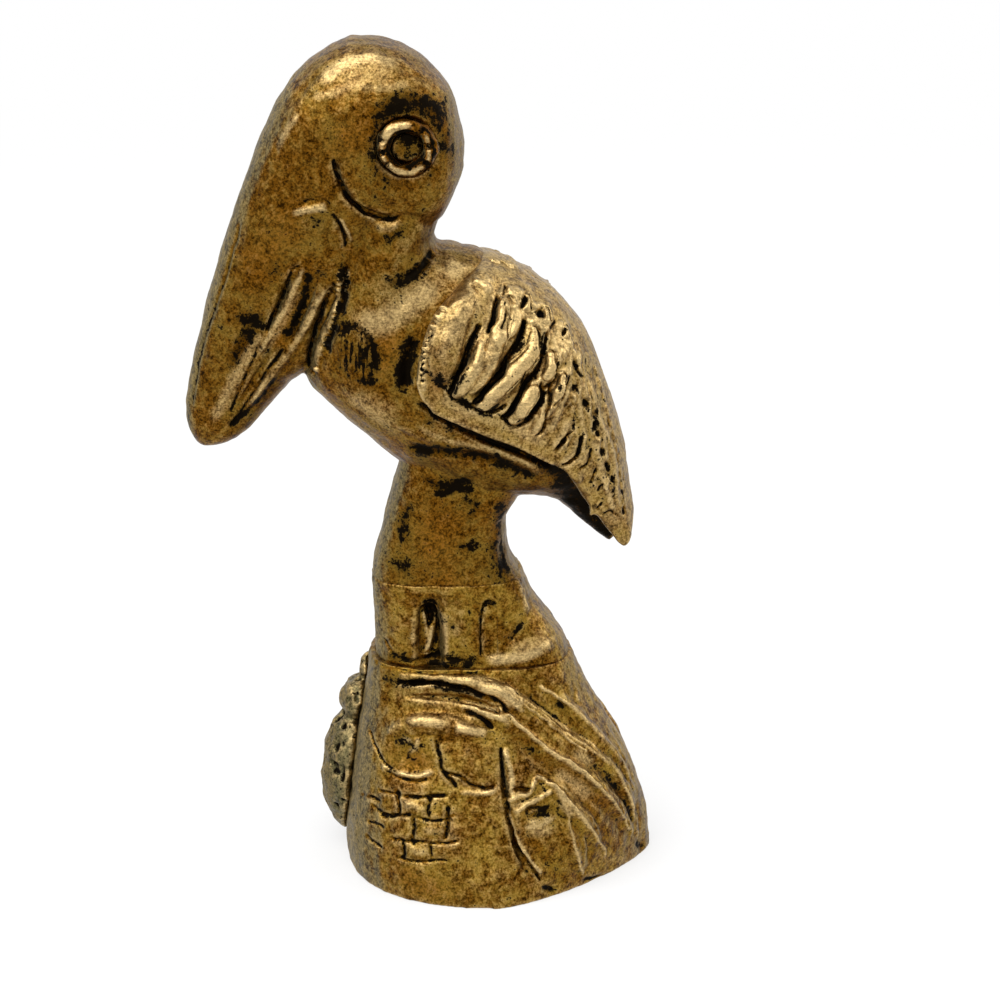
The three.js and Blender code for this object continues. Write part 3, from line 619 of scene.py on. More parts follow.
def smooth_route(points, steps=4):
    """A route with rounded bends through its points."""
    points = np.array(points, float)
    ends = np.vstack((2 * points[0] - points[1], points, 2 * points[-1] - points[-2]))
    route = []
    for before, start, end, after in zip(ends, ends[1:], ends[2:], ends[3:]):
        square, cube = 2 * before - 5 * start + 4 * end - after, 3 * (start - end) + after - before
        for t in np.arange(steps) / steps:
            route.append(start + 0.5 * ((end - before) * t + (square * t * t + cube * t**3)))
    return np.array(route + [points[-1]])


def arc(radius, start, end, steps=9):
    """The route of an arc about the eye's middle, between two angles in degrees."""
    turns = np.radians(np.linspace(start, end, steps))
    return np.stack((EYE[0] + radius * np.cos(turns), EYE[1] + radius * np.sin(turns)), axis=1)


def ray(angle, start, end):
    """The route straight out from the eye's middle at an angle, between two radii."""
    return np.array([arc(radius, angle, angle, 1)[0] for radius in (start, end)])


def reach_of(stroke, side, section=SOFT):
    """How strongly a stroke reaches side-view points, from 0 to 1: the points' numbers, and the strength."""
    half_width, _, points = stroke
    widths, power = section
    reach = widths * half_width
    route = smooth_route(points)
    near = np.flatnonzero(np.all((side > route.min(0) - reach) & (side < route.max(0) + reach), axis=1))
    at = side[near]
    best = np.full(len(near), np.inf)
    along = np.zeros(len(near))
    travelled = 0.0
    for start, end in zip(route, route[1:]):
        step = end - start
        length = max(np.linalg.norm(step), 1e-6)
        share = np.clip((at - start) @ step / length**2, 0, 1)
        distance = np.linalg.norm(at - start - share[:, None] * step, axis=1)
        closer = distance < best
        best[closer] = distance[closer]
        along[closer] = travelled + share[closer] * length
        travelled += length
    taper = soft_step(0, 1.6 * half_width, np.minimum(along, travelled - along) + 0.9 * half_width)
    return near, np.clip(1 - (best / reach) ** power, 0, 1) ** 2 * taper


class Skin:
    """The surface of a casting while it is being worked. Places are in millimetres."""

    def __init__(self, mesh, margin):
        self.mesh = mesh
        self.margin = margin
        self.size = len(mesh.vertices)
        self.at = self.read(mesh.vertices, "co", 3) / MM
        ends = self.read(mesh.edges, "vertices", 2).astype(int)
        self.start, self.end = np.concatenate((ends, ends[:, ::-1])).T
        self.count = np.maximum(np.bincount(self.start, minlength=self.size), 1)[:, None]

    @staticmethod
    def read(items, name, width):
        """The values of one kind, a row for each vertex or edge."""
        values = np.zeros(len(items) * width, np.float32 if name != "vertices" else np.int32)
        items.foreach_get(name, values)
        return values.reshape(-1, width).astype(float)

    def spread(self, values):
        """The mean of each point's neighbours."""
        near = values[self.end].T
        totals = [np.bincount(self.start, weights=column, minlength=self.size) for column in near]
        return np.stack(totals, axis=1) / self.count

    def eased(self, values, passes):
        """Values blended with those of their neighbours."""
        for _ in range(passes):
            values = 0.5 * values + 0.5 * self.spread(values)
        return values

    def relax(self, passes, given_back=0):
        """Eases the surface, and gives back what that takes from its large forms."""
        before = self.at
        self.at = self.eased(before, passes)
        if given_back:
            self.at += self.eased(before - self.at, given_back)

    def facing(self):
        """The directions that the points face."""
        self.mesh.vertices.foreach_set("co", (self.at * MM).astype(np.float32).ravel())
        self.mesh.update()
        return self.read(self.mesh.vertex_normals, "vector", 3)

    def outwards(self):
        """-1 for the points of the near half, 1 for those of the far one."""
        return np.sign(self.at[:, 1])

    def flank(self, facing):
        """How much each point looks out sideways, from 0 to 1."""
        return soft_step(*self.margin, facing[:, 1] * self.outwards())

    def even_out(self, places):
        """Evens the wing's rim where it looks up, and the places of the strokes."""
        rough = self.at
        self.relax(80)
        facing = self.facing()
        share = soft_step(*RIM_SIDEWAYS, facing[:, 1] * self.outwards()) * soft_step(*RIM_UP, facing[:, 2])
        share *= soft_step(*RIM_HEIGHT, self.at[:, 2])
        for stroke in places:
            near, reach = reach_of(stroke, rough[:, (0, 2)], CRISP)
            share[near] = np.maximum(share[near], reach)
        self.at = rough + share[:, None] * (self.at - rough)

    def keep_seams(self, cut, levels):
        """Brings the cut shape back at the seams' heights. Returns how far off each point is, from 0 to 1."""
        calm = 1.0
        for level in levels:
            height = np.abs(cut[:, 2] - level)
            near = soft_step(*SEAM_BAND, height)
            calm = calm * (1 - near)
            self.at += near[:, None] * (cut - self.at)
            up = self.facing()[:, 2]
            face = (height < SEAM_FACE) & (np.abs(up) > 0.8)
            self.at[face, 2] += SEAM_FACE * np.sign(up[face])
        return calm

    def sink_rim(self, facing, sunk, blend_in):
        """Sinks the rim of a wing into the body, further where its top front runs into the shoulder."""
        out = self.outwards()
        rim = soft_step(0.6, -0.1, facing[:, 1] * out) * soft_step(-0.85, -0.35, facing[:, 2])
        if blend_in:
            edge = np.minimum(1, 2.2 * self.eased(rim[:, None], 60)[:, 0])
            shoulder = soft_step(*SHOULDER_HEIGHT, self.at[:, 2]) * soft_step(*SHOULDER_PLACE, self.at[:, 0])
            self.at[:, 1] -= out * blend_in * edge * shoulder
        self.at[:, 1] -= out * sunk * rim

    def fill(self, strokes):
        """Fills carved places up towards the flank round them, by the strength of each stroke."""
        out = self.outwards()
        flat = np.abs(self.facing()[:, 1]) > 0.7
        for flank, stroke in itertools.product((-1, 1), strokes):
            near, share = reach_of(stroke, self.at[:, (0, 2)], CRISP)
            mine = out[near] == flank
            near, share = near[mine], share[mine]
            x, y, z = self.at[near].T
            basis = np.stack((np.ones(len(x)), x, z, x * x, x * z, z * z), axis=1)
            round_it = flat[near] & (share > 0) & (share < 0.7)
            bend = np.linalg.lstsq(basis[round_it], y[round_it], rcond=None)[0]
            self.at[near, 1] += stroke[1] * np.minimum(1, 1.25 * share) * (basis @ bend - y)

    def lift(self, strokes):
        """Raises the places of the strokes, as far as they look up."""
        up = soft_step(0.2, 0.7, self.facing()[:, 2])
        for stroke in strokes:
            near, share = reach_of(stroke, self.at[:, (0, 2)], CRISP)
            self.at[near, 2] += stroke[1] * share * up[near]

    def roughen(self, uneven, pits, seed):
        """Uneven casting with lumps of three sizes, and with pits."""
        facing = self.facing()
        standing = soft_step(0.3, 1.2, self.at[:, 2])
        for number, (size, depth) in enumerate(LUMP_SIZES):
            self.at += (depth * uneven * standing * lumps(self.at, size, seed + number))[:, None] * facing
        if pits:
            sink = soft_step(0.35, 0.75, lumps(self.at, 0.9, seed + 5)) * pits
            self.at -= sink[:, None] * self.facing()

    def side(self):
        """The side-view places of the points, shifted a little so that no stroke runs ruler straight."""
        shift = [0.1 * lumps(self.at, 1.3, seed) + 0.07 * lumps(self.at, 0.5, seed) for seed in (71, 72)]
        return self.at[:, (0, 2)] + np.stack(shift, axis=1)

    def work(self, strokes, strength):
        """Raises the ridges and sinks the grooves. Returns how much the narrow ones mark each point."""
        facing = self.facing()
        flank = self.flank(facing)
        side = self.side()
        uneven = 1 + 0.22 * lumps(self.at, 1.6, 73) + 0.14 * lumps(self.at, 0.6, 74)
        ridge, groove, ridge_mark, groove_mark = np.zeros((4, self.size))
        for stroke in strokes:
            half_width, height, _ = stroke
            near, share = reach_of(stroke, side, CRISP if height > CRISP_FROM else SOFT)
            share *= uneven[near] * abs(height)
            if height > 0:
                ridge[near] += share
                ridge_mark[near] += share * soft_step(*MARKING_RIDGE, half_width)
            else:
                groove[near] = np.maximum(groove[near], share)
                mark = share * soft_step(*MARKING_GROOVE, half_width)
                groove_mark[near] = np.maximum(groove_mark[near], mark)
        self.at += (strength * flank * (ridge - groove))[:, None] * facing
        return ridge_mark * flank, groove_mark * flank

    def raise_to(self, detail):
        """Raises the skin to the details that are set over it, a mesh in metres."""
        corners_of = [polygon.vertices for polygon in detail.polygons]
        tree = BVHTree.FromPolygons([vertex.co / MM for vertex in detail.vertices], corners_of)
        places = self.read(detail.vertices, "co", 3) / MM
        facing = self.facing()
        reach = 1.0
        inside = np.all((self.at > places.min(0) - reach) & (self.at < places.max(0) + reach), axis=1)
        for number in np.flatnonzero(inside):
            out = Vector(facing[number])
            start = Vector(self.at[number]) + out * reach
            place, _, _, distance = tree.ray_cast(start, -out, reach)
            if place is not None:
                self.at[number] += (reach - distance) * facing[number]

    def hollows(self, passes):
        """How far each point lies under the eased surface, in millimetres."""
        facing = self.facing()
        return np.sum((self.eased(self.at, passes) - self.at) * facing, axis=1)

    def tint(self, strokes, tone):
        """A tone with what the strokes of a colour add to it on the flanks, from 0 to 1."""
        flank = self.flank(self.facing())
        side = self.side()
        for stroke in strokes:
            near, share = reach_of(stroke, side)
            tone[near] = np.maximum(tone[near], stroke[1] * share * flank[near])
        return np.clip(tone, 0, 1)

    def keep(self, name, values):
        """Stores one value per point for the materials."""
        layer = self.mesh.attributes.new(name, "FLOAT", "POINT")
        layer.data.foreach_set("value", np.clip(values, 0, 1).astype(np.float32))


def bare(name, data):
    """A mesh, lamp or camera as a new object in the scene."""
    piece = bpy.data.objects.new(name, data)
    bpy.context.scene.collection.objects.link(piece)
    return piece


def settled(piece):
    """The piece with its modifiers made part of its mesh."""
    graph = bpy.context.evaluated_depsgraph_get()
    mesh = bpy.data.meshes.new_from_object(piece.evaluated_get(graph))
    piece.modifiers.clear()
    old, piece.data = piece.data, mesh
    bpy.data.meshes.remove(old)
    mesh.name = piece.name
    return piece


def cast(name, node, mesh_size):
    """A casting with an even mesh over a CAD node, whose triangles are joined into one skin first."""
    work = bmesh.new()
    work.from_mesh(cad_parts[node].data)
    bmesh.ops.remove_doubles(work, verts=work.verts, dist=WELD)
    mesh = bpy.data.meshes.new(node + "_skin")
    work.to_mesh(mesh)
    work.free()
    piece = bare(name, mesh)
    remesh = piece.modifiers.new("Even", "REMESH")
    remesh.mode = "VOXEL"
    remesh.voxel_size = mesh_size
    return settled(piece)


def thinned(piece, most):
    """The piece with no more triangles than are allowed, fewest where it is smooth."""
    triangles = sum(len(polygon.vertices) - 2 for polygon in piece.data.polygons)
    if triangles > most:
        decimate = piece.modifiers.new("Thin", "DECIMATE")
        decimate.ratio = most / triangles
        settled(piece)
    return piece


def shape_skin(
    piece, relief, seed, details=(), evening=18, uneven=1.0, pits=0.0, sunk=0.0, blend_in=0.0, swell=0.0,
    seams=(), fills=(), lifts=(), evened=(), margin=(0.25, 0.6)
):
    """Works a casting's surface. Returns its skin, its ridge and groove marks, and how far off seams are."""
    skin = Skin(piece.data, margin)
    cut = skin.at
    skin.relax(evening, given_back=evening // 2)
    if evened:
        skin.even_out(evened)
    calm = skin.keep_seams(cut, seams)
    facing = skin.facing()
    skin.sink_rim(facing, sunk, blend_in)
    skin.at += swell * facing
    skin.fill(fills)
    skin.lift(lifts)
    skin.roughen(uneven, pits, seed)
    ridge, groove = skin.work(relief, sizes().relief)
    for detail in details:
        skin.raise_to(detail)
    skin.relax(1)
    return skin, ridge, groove, calm


def colour_skin(skin, ridge, groove, calm, strokes, tarnish, polish, crest):
    """Stores the tones of the metal: hollows darken with patina, high places are worn, faces that look up get
    a painted highlight, sides that face along the figure get a painted grey reflection, and strokes add to
    these, painted shade and painted highlights among them.
    """
    close, wide = skin.hollows(CLOSE) * calm, skin.hollows(WIDE) * calm
    along, _, up = skin.facing().T
    high = 5 * np.maximum(-close, 0), 1.6 * np.maximum(-wide, 0)
    tones = {
        "stain": tarnish + 1.5 * groove + 8 * np.maximum(close, 0) + 2.2 * np.maximum(wide, 0),
        # Wear on high places; the term in up paints a highlight on faces that look up.
        "wear": polish + crest * ridge + high[0] + high[1] + 0.22 * soft_step(0.0, 1.0, up) - groove,
        "warmth": np.zeros(skin.size),
        "hatch": np.zeros(skin.size),
        # Painted grey reflection on the sides that face along the figure, stronger where they face forward.
        "dull": soft_step(0.45, 0.95, -along) + 0.5 * soft_step(0.6, 0.95, along),
    }
    for name, tone in tones.items():
        tone = skin.tint(strokes.get(name, ()), tone)
        skin.keep(name, tone if name == "dull" else skin.eased(tone[:, None], 1)[:, 0])


def dress(
    name, node, mesh_size, material, relief, strokes, slot="antique_brass", tarnish=0.0, polish=0.0,
    crest=0.9, **shaping
):
    """Casts a piece, works its surface, stores its tones, thins its mesh and puts it in its node's place."""
    piece = cast(name, node, mesh_size)
    skin, *marks = shape_skin(piece, relief, **shaping)
    colour_skin(skin, *marks, strokes, tarnish, polish, crest)
    low, high = (np.array(corner) / MM for corner in CAD_BOX)
    skin.at = np.clip(skin.at, low + (BOX_GAP, BOX_GAP, FLOOR_GAP), high - BOX_GAP)
    skin.facing()
    mesh = thinned(piece, sizes().most_triangles).data
    mesh.polygons.foreach_set("use_smooth", np.ones(len(mesh.polygons), bool))
    mesh.materials.clear()
    mesh.materials.append(material)
    mesh.update()
    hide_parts(node)
    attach(piece, "root")


# Trees of nodes


def socket(sockets, name):
    """The socket of a name that is in use."""
    return next(one for one in sockets if one.enabled and one.name == name)


def add(tree, kind, inputs=(), **settings):
    """A node with its settings, whose inputs are values or the outputs of other nodes."""
    node = tree.nodes.new(kind)
    for name, value in settings.items():
        setattr(node, name, value)
    for name, value in dict(inputs).items():
        goal = socket(node.inputs, name) if isinstance(name, str) else node.inputs[name]
        if isinstance(value, bpy.types.NodeSocket):
            tree.links.new(value, goal)
        else:
            goal.default_value = value
    return node


def maths(tree, operation, *values):
    """The result of an operation on numbers and sockets."""
    return add(tree, "ShaderNodeMath", enumerate(values), operation=operation).outputs[0]


def scaled(tree, vector, factor):
    """A vector times a factor."""
    return add(tree, "ShaderNodeVectorMath", {0: vector, "Scale": factor}, operation="SCALE").outputs[0]


def group(kind, name, inputs, outputs):
    """An empty node group with its sockets, and its input and output nodes."""
    tree = bpy.data.node_groups.new(name, kind)
    for direction, sockets in (("INPUT", inputs), ("OUTPUT", outputs)):
        for label, sort, *value in sockets:
            made = tree.interface.new_socket(label, in_out=direction, socket_type="NodeSocket" + sort)
            if value:
                made.default_value = value[0]
    return tree, tree.nodes.new("NodeGroupInput").outputs, tree.nodes.new("NodeGroupOutput").inputs


def bead_tree():
    """Geometry nodes that set beads along paths, each lying flat on the surface under it."""
    geometry = ("Geometry", "Geometry")
    lengths = (("Pitch", 0.0005), ("Size Along", 0.0003), ("Size Across", 0.0006), ("Height", 0.0002))
    floats = [(name, "Float", value) for name, value in (*lengths, ("Unevenness", 0.45))]
    tree, given, result = group(
        "GeometryNodeTree",
        "Beads along paths",
        [geometry, *floats, ("Seed", "Int", 1), ("Material", "Material")],
        [geometry],
    )
    curve = add(tree, "GeometryNodeMeshToCurve", {"Mesh": given["Geometry"]}).outputs[0]
    places = add(tree, "GeometryNodeResampleCurve", {"Curve": curve, "Length": given["Pitch"]}, mode="LENGTH")
    tangent = add(tree, "GeometryNodeInputTangent").outputs[0]
    up = add(tree, "GeometryNodeInputNamedAttribute", {"Name": "up"}, data_type="FLOAT_VECTOR")
    turned = add(tree, "FunctionNodeAlignRotationToVector", {"Vector": tangent}, axis="X").outputs[0]
    upright = add(
        tree,
        "FunctionNodeAlignRotationToVector",
        {"Rotation": turned, "Vector": socket(up.outputs, "Attribute")},
        axis="Z",
        pivot_axis="X",
    )
    least, most = (maths(tree, sign, 1.0, given["Unevenness"]) for sign in ("SUBTRACT", "ADD"))
    limits = {"Min": least, "Max": most, "Seed": given["Seed"]}
    chance = socket(add(tree, "FunctionNodeRandomValue", limits, data_type="FLOAT").outputs, "Value")
    along, across = (maths(tree, "MULTIPLY", given[name], 0.5) for name in ("Size Along", "Size Across"))
    size = add(tree, "ShaderNodeCombineXYZ", {"X": along, "Y": across, "Z": given["Height"]}).outputs[0]
    ball = add(tree, "GeometryNodeMeshIcoSphere", {"Radius": 1.0, "Subdivisions": 2}).outputs["Mesh"]
    inputs = {"Points": places.outputs[0], "Instance": ball, "Rotation": upright.outputs[0]}
    inputs["Scale"] = scaled(tree, size, chance)
    beads = add(tree, "GeometryNodeInstanceOnPoints", inputs).outputs[0]
    real = add(tree, "GeometryNodeRealizeInstances", {"Geometry": beads}).outputs[0]
    dressed = add(tree, "GeometryNodeSetMaterial", {"Geometry": real, "Material": given["Material"]})
    tree.links.new(dressed.outputs[0], result["Geometry"])
    return tree


def seated(node, points):
    """Where side-view points, in millimetres, lie on a CAD node's near flank, and the directions there."""
    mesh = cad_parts[node].data
    tree = BVHTree.FromPolygons([v.co for v in mesh.vertices], [p.vertices for p in mesh.polygons])
    seats = []
    for x, z in smooth_route(points) * MM:
        place, facing, *_ = tree.ray_cast(Vector((x, -1, z)), Vector((0, 1, 0)))
        if place is None:
            raise RuntimeError(f"{node} has no surface at {x:.4f}, {z:.4f}")
        seats.append((place, facing if facing.y < 0 else -facing))
    return seats


def bead_mesh(node, routes, pitch, along, across, height, seed, flanks=(1, -1)):
    """The mesh of beads along routes on a CAD node's near flank, and on its far one. Sizes are in metres."""
    places, ups, edges = [], [], []
    for flank, route in itertools.product(flanks, routes):
        mirror = Vector((1, flank, 1))
        for number, (place, facing) in enumerate(seated(node, route)):
            if number:
                edges.append((len(places) - 1, len(places)))
            places.append(place * mirror)
            ups.append(facing * mirror)
    mesh = bpy.data.meshes.new("bead_paths")
    mesh.from_pydata(places, edges, [])
    layer = mesh.attributes.new("up", "FLOAT_VECTOR", "POINT")
    layer.data.foreach_set("vector", np.array(ups, np.float32).ravel())
    path = bare("bead_paths", mesh)
    modifier = path.modifiers.new("Beads", "NODES")
    modifier.node_group = bpy.data.node_groups.get("Beads along paths") or bead_tree()
    given = {"Pitch": pitch, "Size Along": along, "Size Across": across, "Height": height, "Seed": seed}
    given["Material"] = brass()
    for item in modifier.node_group.interface.items_tree:
        if item.in_out == "INPUT" and item.name in given:
            modifier[item.identifier] = given[item.name]
    mesh = settled(path).data
    bpy.data.objects.remove(path)
    return mesh


# Materials

# The stain and wear tones also carry painted shade and painted highlights, and the tone of the sides is a
# painted grey reflection.
TONES = {"Stain": "stain", "Wear": "wear", "Warmth": "warmth", "Dullness": "dull", "Hatch": "hatch"}
# Of these, the fourth paints a grey reflection, the fifth also paints highlights and the last also paints
# shade.
COLOURS = ("Brown", "Olive", "Warm", "Dull", "Rubbed", "Stained")
# Sizes in the metal, in metres.
BLOTCH, MOTTLE, SPECK, HAIR, HATCH_LINE = 0.0042, 0.001, 0.00031, 0.0014, 0.0004
WAVE, PIT, SCRATCH, HATCH_RIDGE = 0.0016, 0.0011, 0.0016, 0.00028


def soft_range(tree, value, low, high):
    """From 0 to 1 as a value goes from low to high."""
    inputs = {"Value": value, "From Min": low, "From Max": high}
    return add(tree, "ShaderNodeMapRange", inputs, interpolation_type="SMOOTHSTEP").outputs[0]


def blend(tree, share, first, second):
    """Two colours blended by a share of the second."""
    return add(tree, "ShaderNodeMix", {0: share, 6: first, 7: second}, data_type="RGBA").outputs[2]


def sums(tree, start, *terms):
    """A start value plus terms, each a value with its factor and what is taken off the value first."""
    total = start
    for value, factor, off in terms:
        total = maths(tree, "MULTIPLY_ADD", maths(tree, "SUBTRACT", value, off), factor, total)
    return total


def cloud(tree, place, size, detail=3.0, roughness=0.55):
    """Cloudy values from 0 to 1, with clouds of the given size in metres."""
    inputs = {"Vector": place, "Scale": 1 / size, "Detail": detail, "Roughness": roughness}
    return add(tree, "ShaderNodeTexNoise", inputs).outputs[0]


def slanted(tree, place, turn, scale):
    """A place turned about Y by an angle in radians, and stretched."""
    inputs = {"Vector": place, "Rotation": (0.0, turn, 0.0), "Scale": scale}
    return add(tree, "ShaderNodeMapping", inputs).outputs[0]


def patina_group():
    """Antique metal: blotches of two browns, a warm tint, a painted grey reflection, rubbed high places
    together with painted highlights, and black stains together with painted shade.
    """
    tree, given, result = group(
        "ShaderNodeTree",
        "Antique patina",
        [(name, "Color") for name in COLOURS] + [(name, "Float", 0.0) for name in TONES],
        (("Color", "Color"), ("Roughness", "Float"), ("Metallic", "Float")),
    )
    place = add(tree, "ShaderNodeTexCoord").outputs["Object"]
    blotch = cloud(tree, place, BLOTCH, 4.0)
    mottle = cloud(tree, place, MOTTLE, 4.0, 0.6)
    speck = cloud(tree, place, SPECK, 3.0, 0.75)
    fleck = soft_range(tree, speck, 0.36, 0.64)
    hairs = soft_range(tree, cloud(tree, slanted(tree, place, 0.5, (1, 9, 9)), HAIR, 1.0), 0.6, 0.68)
    hatch = soft_range(tree, cloud(tree, slanted(tree, place, 0.45, (1, 1, 0.16)), HATCH_LINE, 1.0), 0.4, 0.6)
    hatch = maths(tree, "MULTIPLY", hatch, given["Hatch"])
    tone = soft_range(tree, sums(tree, blotch, (mottle, 0.9, 0.5)), 0.26, 0.76)
    colour = blend(tree, tone, given["Brown"], given["Olive"])
    warm = soft_range(tree, sums(tree, given["Warmth"], (mottle, 1.0, 0.5), (speck, 1.0, 0.5)), 0.1, 0.9)
    colour = blend(tree, warm, colour, given["Warm"])
    # The grey of the sides is a painted reflection; it also takes some metal away and adds roughness.
    dull = soft_range(tree, sums(tree, given["Dullness"], (mottle, 0.8, 0.5), (speck, 0.6, 0.5)), 0.1, 0.9)
    colour = blend(tree, dull, colour, given["Dull"])
    shade = sums(tree, 0.42, (fleck, 0.95, 0.0), (mottle, 2.3, 0.5), (blotch, 0.9, 0.5))
    colour = scaled(tree, colour, maths(tree, "MAXIMUM", shade, 0.1))
    # Rubbed brass over the wear tone, which is real rubbing and also painted highlights.
    wear = soft_range(tree, sums(tree, given["Wear"], (speck, 0.9, 0.5), (mottle, 0.7, 0.5)), 0.1, 1.1)
    glint = sums(tree, 0.7, (fleck, 0.4, 0.0), (mottle, 0.9, 0.5), (hairs, 0.5, 0.0))
    colour = blend(tree, wear, colour, scaled(tree, given["Rubbed"], glint))
    # Black over the stain tone, which is patina in hollows and also painted shade.
    stain = sums(tree, given["Stain"], (speck, 1.9, 0.5), (mottle, 2.5, 0.5), (blotch, 1.2, 0.5))
    stain = soft_range(tree, sums(tree, stain, (hatch, 0.7, 0.0)), 0.46, 0.72)
    rough = sums(tree, 0.42, (wear, -0.08, 0.0), (stain, 0.2, 0.0), (dull, 0.12, 0.0), (mottle, 0.3, 0.5))
    tree.links.new(blend(tree, stain, colour, given["Stained"]), result["Color"])
    tree.links.new(rough, result["Roughness"])
    tree.links.new(sums(tree, 1.0, (dull, -0.15, 0.0)), result["Metallic"])
    return tree


def grain_group():
    """The grain of a casting with small pits, fine scratches and hatching, as a height from 0 to 1."""
    tree, given, result = group(
        "ShaderNodeTree",
        "Cast grain",
        (("Grain Size", "Float", 0.0003), ("Pits", "Float", 0.5), ("Hatch", "Float", 0.0)),
        (("Height", "Float"),),
    )
    place = add(tree, "ShaderNodeTexCoord").outputs["Object"]
    often = maths(tree, "DIVIDE", 1.0, given["Grain Size"])
    fine = add(tree, "ShaderNodeTexNoise", {"Vector": place, "Scale": often, "Detail": 4.0}).outputs[0]
    waves = cloud(tree, place, WAVE, 3.0)
    cells = add(tree, "ShaderNodeTexVoronoi", {"Vector": place, "Scale": 1 / PIT}).outputs["Distance"]
    scratch = cloud(tree, slanted(tree, place, 0.6, (6, 6, 1)), SCRATCH, 3.0, 0.5)
    lines = cloud(tree, slanted(tree, place, 0.5, (1, 0.4, 0.2)), HATCH_RIDGE, 1.0, 0.5)
    scratch = soft_range(tree, scratch, 0.66, 0.72)
    hatch = maths(tree, "MULTIPLY", lines, given["Hatch"])
    height = sums(tree, 0.5, (fine, 0.5, 0.5), (waves, 0.8, 0.5), (scratch, -0.12, 0.0), (hatch, 2.2, 0.0))
    depth = maths(tree, "MULTIPLY", soft_range(tree, cells, 0.0, 0.22), given["Pits"])
    tree.links.new(sums(tree, height, (depth, 0.35, 0.0)), result["Height"])
    return tree


def metal(name, colours, grain_size, pits, depth, toned=True):
    """An antique metal whose tones come from the piece's own attributes, or from none."""
    if name in bpy.data.materials:
        return bpy.data.materials[name]
    material = bpy.data.materials.new(name)
    material.use_nodes = True
    tree = material.node_tree
    patina, grain = (
        add(tree, "ShaderNodeGroup", node_tree=bpy.data.node_groups.get(label) or build())
        for label, build in (("Antique patina", patina_group), ("Cast grain", grain_group))
    )
    for label, values in colours.items():
        patina.inputs[label].default_value = (*values, 1.0)
    grain.inputs["Grain Size"].default_value = grain_size
    grain.inputs["Pits"].default_value = pits
    for label, layer in TONES.items() if toned else ():
        tone = add(tree, "ShaderNodeAttribute", attribute_name=layer).outputs["Fac"]
        for one in (patina, grain) if label == "Hatch" else (patina,):
            tree.links.new(tone, one.inputs[label])
    shader = tree.nodes["Principled BSDF"].inputs
    for label, goal in (("Color", "Base Color"), ("Roughness", "Roughness"), ("Metallic", "Metallic")):
        tree.links.new(patina.outputs[label], shader[goal])
    bump = add(tree, "ShaderNodeBump", {"Height": grain.outputs["Height"], "Distance": depth})
    tree.links.new(bump.outputs[0], shader["Normal"])
    return material


def finish():
    """The colours that the panel sets."""
    return bpy.context.scene.pelican_finish


def sizes():
    """The sizes that the panel sets."""
    return bpy.context.scene.pelican_sizes


def patina_colours(**changes):
    """The colours of the patina, with some of them changed."""
    return {name: changes.get(name, getattr(finish(), name.lower())) for name in COLOURS}


def brass():
    """The antique brass of the figure."""
    return metal("aged_brass", patina_colours(), 0.00032, 0.35, 0.00009)


def pale_brass():
    """The paler brass of the wings, the stump and the rock."""
    return metal("worn_brass", patina_colours(Olive=finish().pale), 0.00034, 0.45, 0.0001)


def ring_brass():
    """The brass of the eye rings, which stand proud and are rubbed more."""
    return metal("handled_brass", patina_colours(Olive=finish().warm), 0.00028, 0.3, 0.00006)


def rough_brass():
    """The greyer, pitted brass of the lumps beside the rock."""
    colours = patina_colours(Brown=finish().rough, Olive=finish().rough)
    return metal("pitted_brass", colours, 0.0005, 1.0, 0.00022)


def screw_steel():
    """The plain steel of the screw and its washer."""
    return metal("screw_steel", dict.fromkeys(COLOURS, finish().steel), 0.0002, 0.0, 0.00001, toned=False)


# The panel's settings


def length(name, description, default):
    """A length in metres."""
    kind = {"min": 0, "unit": "LENGTH", "precision": 5}
    return FloatProperty(name=name, description=description, default=default, **kind)


def colour(name, description, default):
    """A colour of the finish."""
    kind = {"size": 3, "min": 0, "max": 1, "subtype": "COLOR"}
    return FloatVectorProperty(name=name, description=description, default=default, **kind)


class PelicanSizes(bpy.types.PropertyGroup):
    bird_mesh: length("Bird mesh", "Spacing of the mesh that the bird is worked in", 0.0002)
    wing_mesh: length("Wing mesh", "Spacing of the mesh that the wings are worked in", 0.00017)
    ring_mesh: length("Ring mesh", "Spacing of the mesh that the eye rings are worked in", 0.00009)
    base_mesh: length("Base mesh", "Spacing of the mesh that the stump and the rock are worked in", 0.00021)
    relief: FloatProperty(
        name="Relief",
        description="Strength of the ridges and grooves",
        default=1.0,
        min=0,
        max=1.5,
        subtype="FACTOR",
    )
    tooth_pitch: length("Tooth pitch", "Spacing of the small teeth on the bill and the wing's front", 0.00065)
    scale_pitch: length("Scale pitch", "Spacing of the low scales down the back", 0.0016)
    scale_rows: IntProperty(
        name="Scale rows", description="Rows of low scales on a wing", default=4, min=2, max=9
    )
    most_triangles: IntProperty(
        name="Most triangles", description="Triangles that one casting may have", default=190000, min=20000
    )


class PelicanFinish(bpy.types.PropertyGroup):
    brown: colour("Brown", "Brown of the patina", (0.16, 0.064, 0.0045))
    olive: colour("Olive", "Olive of the patina", (0.165, 0.096, 0.014))
    pale: colour("Pale olive", "Olive of the wings, the stump and the rock", (0.235, 0.142, 0.019))
    warm: colour("Warm", "Orange tint where the patina is thin", (0.18, 0.069, 0.005))
    # This colour paints a grey reflection on the sides that face along the figure.
    dull: colour("Dull", "Grey bloom on the sides that face along the figure", (0.165, 0.12, 0.042))
    # This colour is also laid as painted highlights on faces that look up and on lit ridges.
    rubbed: colour("Rubbed brass", "Colour of the places that handling has rubbed", (0.551, 0.388, 0.167))
    # This colour is also laid as painted shade under the wing and beside the leg.
    stained: colour("Stain", "Colour in the recesses", (0.006, 0.004, 0.002))
    rough: colour("Rough lump", "Colour of the rough lumps beside the rock", (0.13, 0.11, 0.05))
    steel: colour("Steel", "Colour of the screw and its washer", (0.42, 0.41, 0.39))


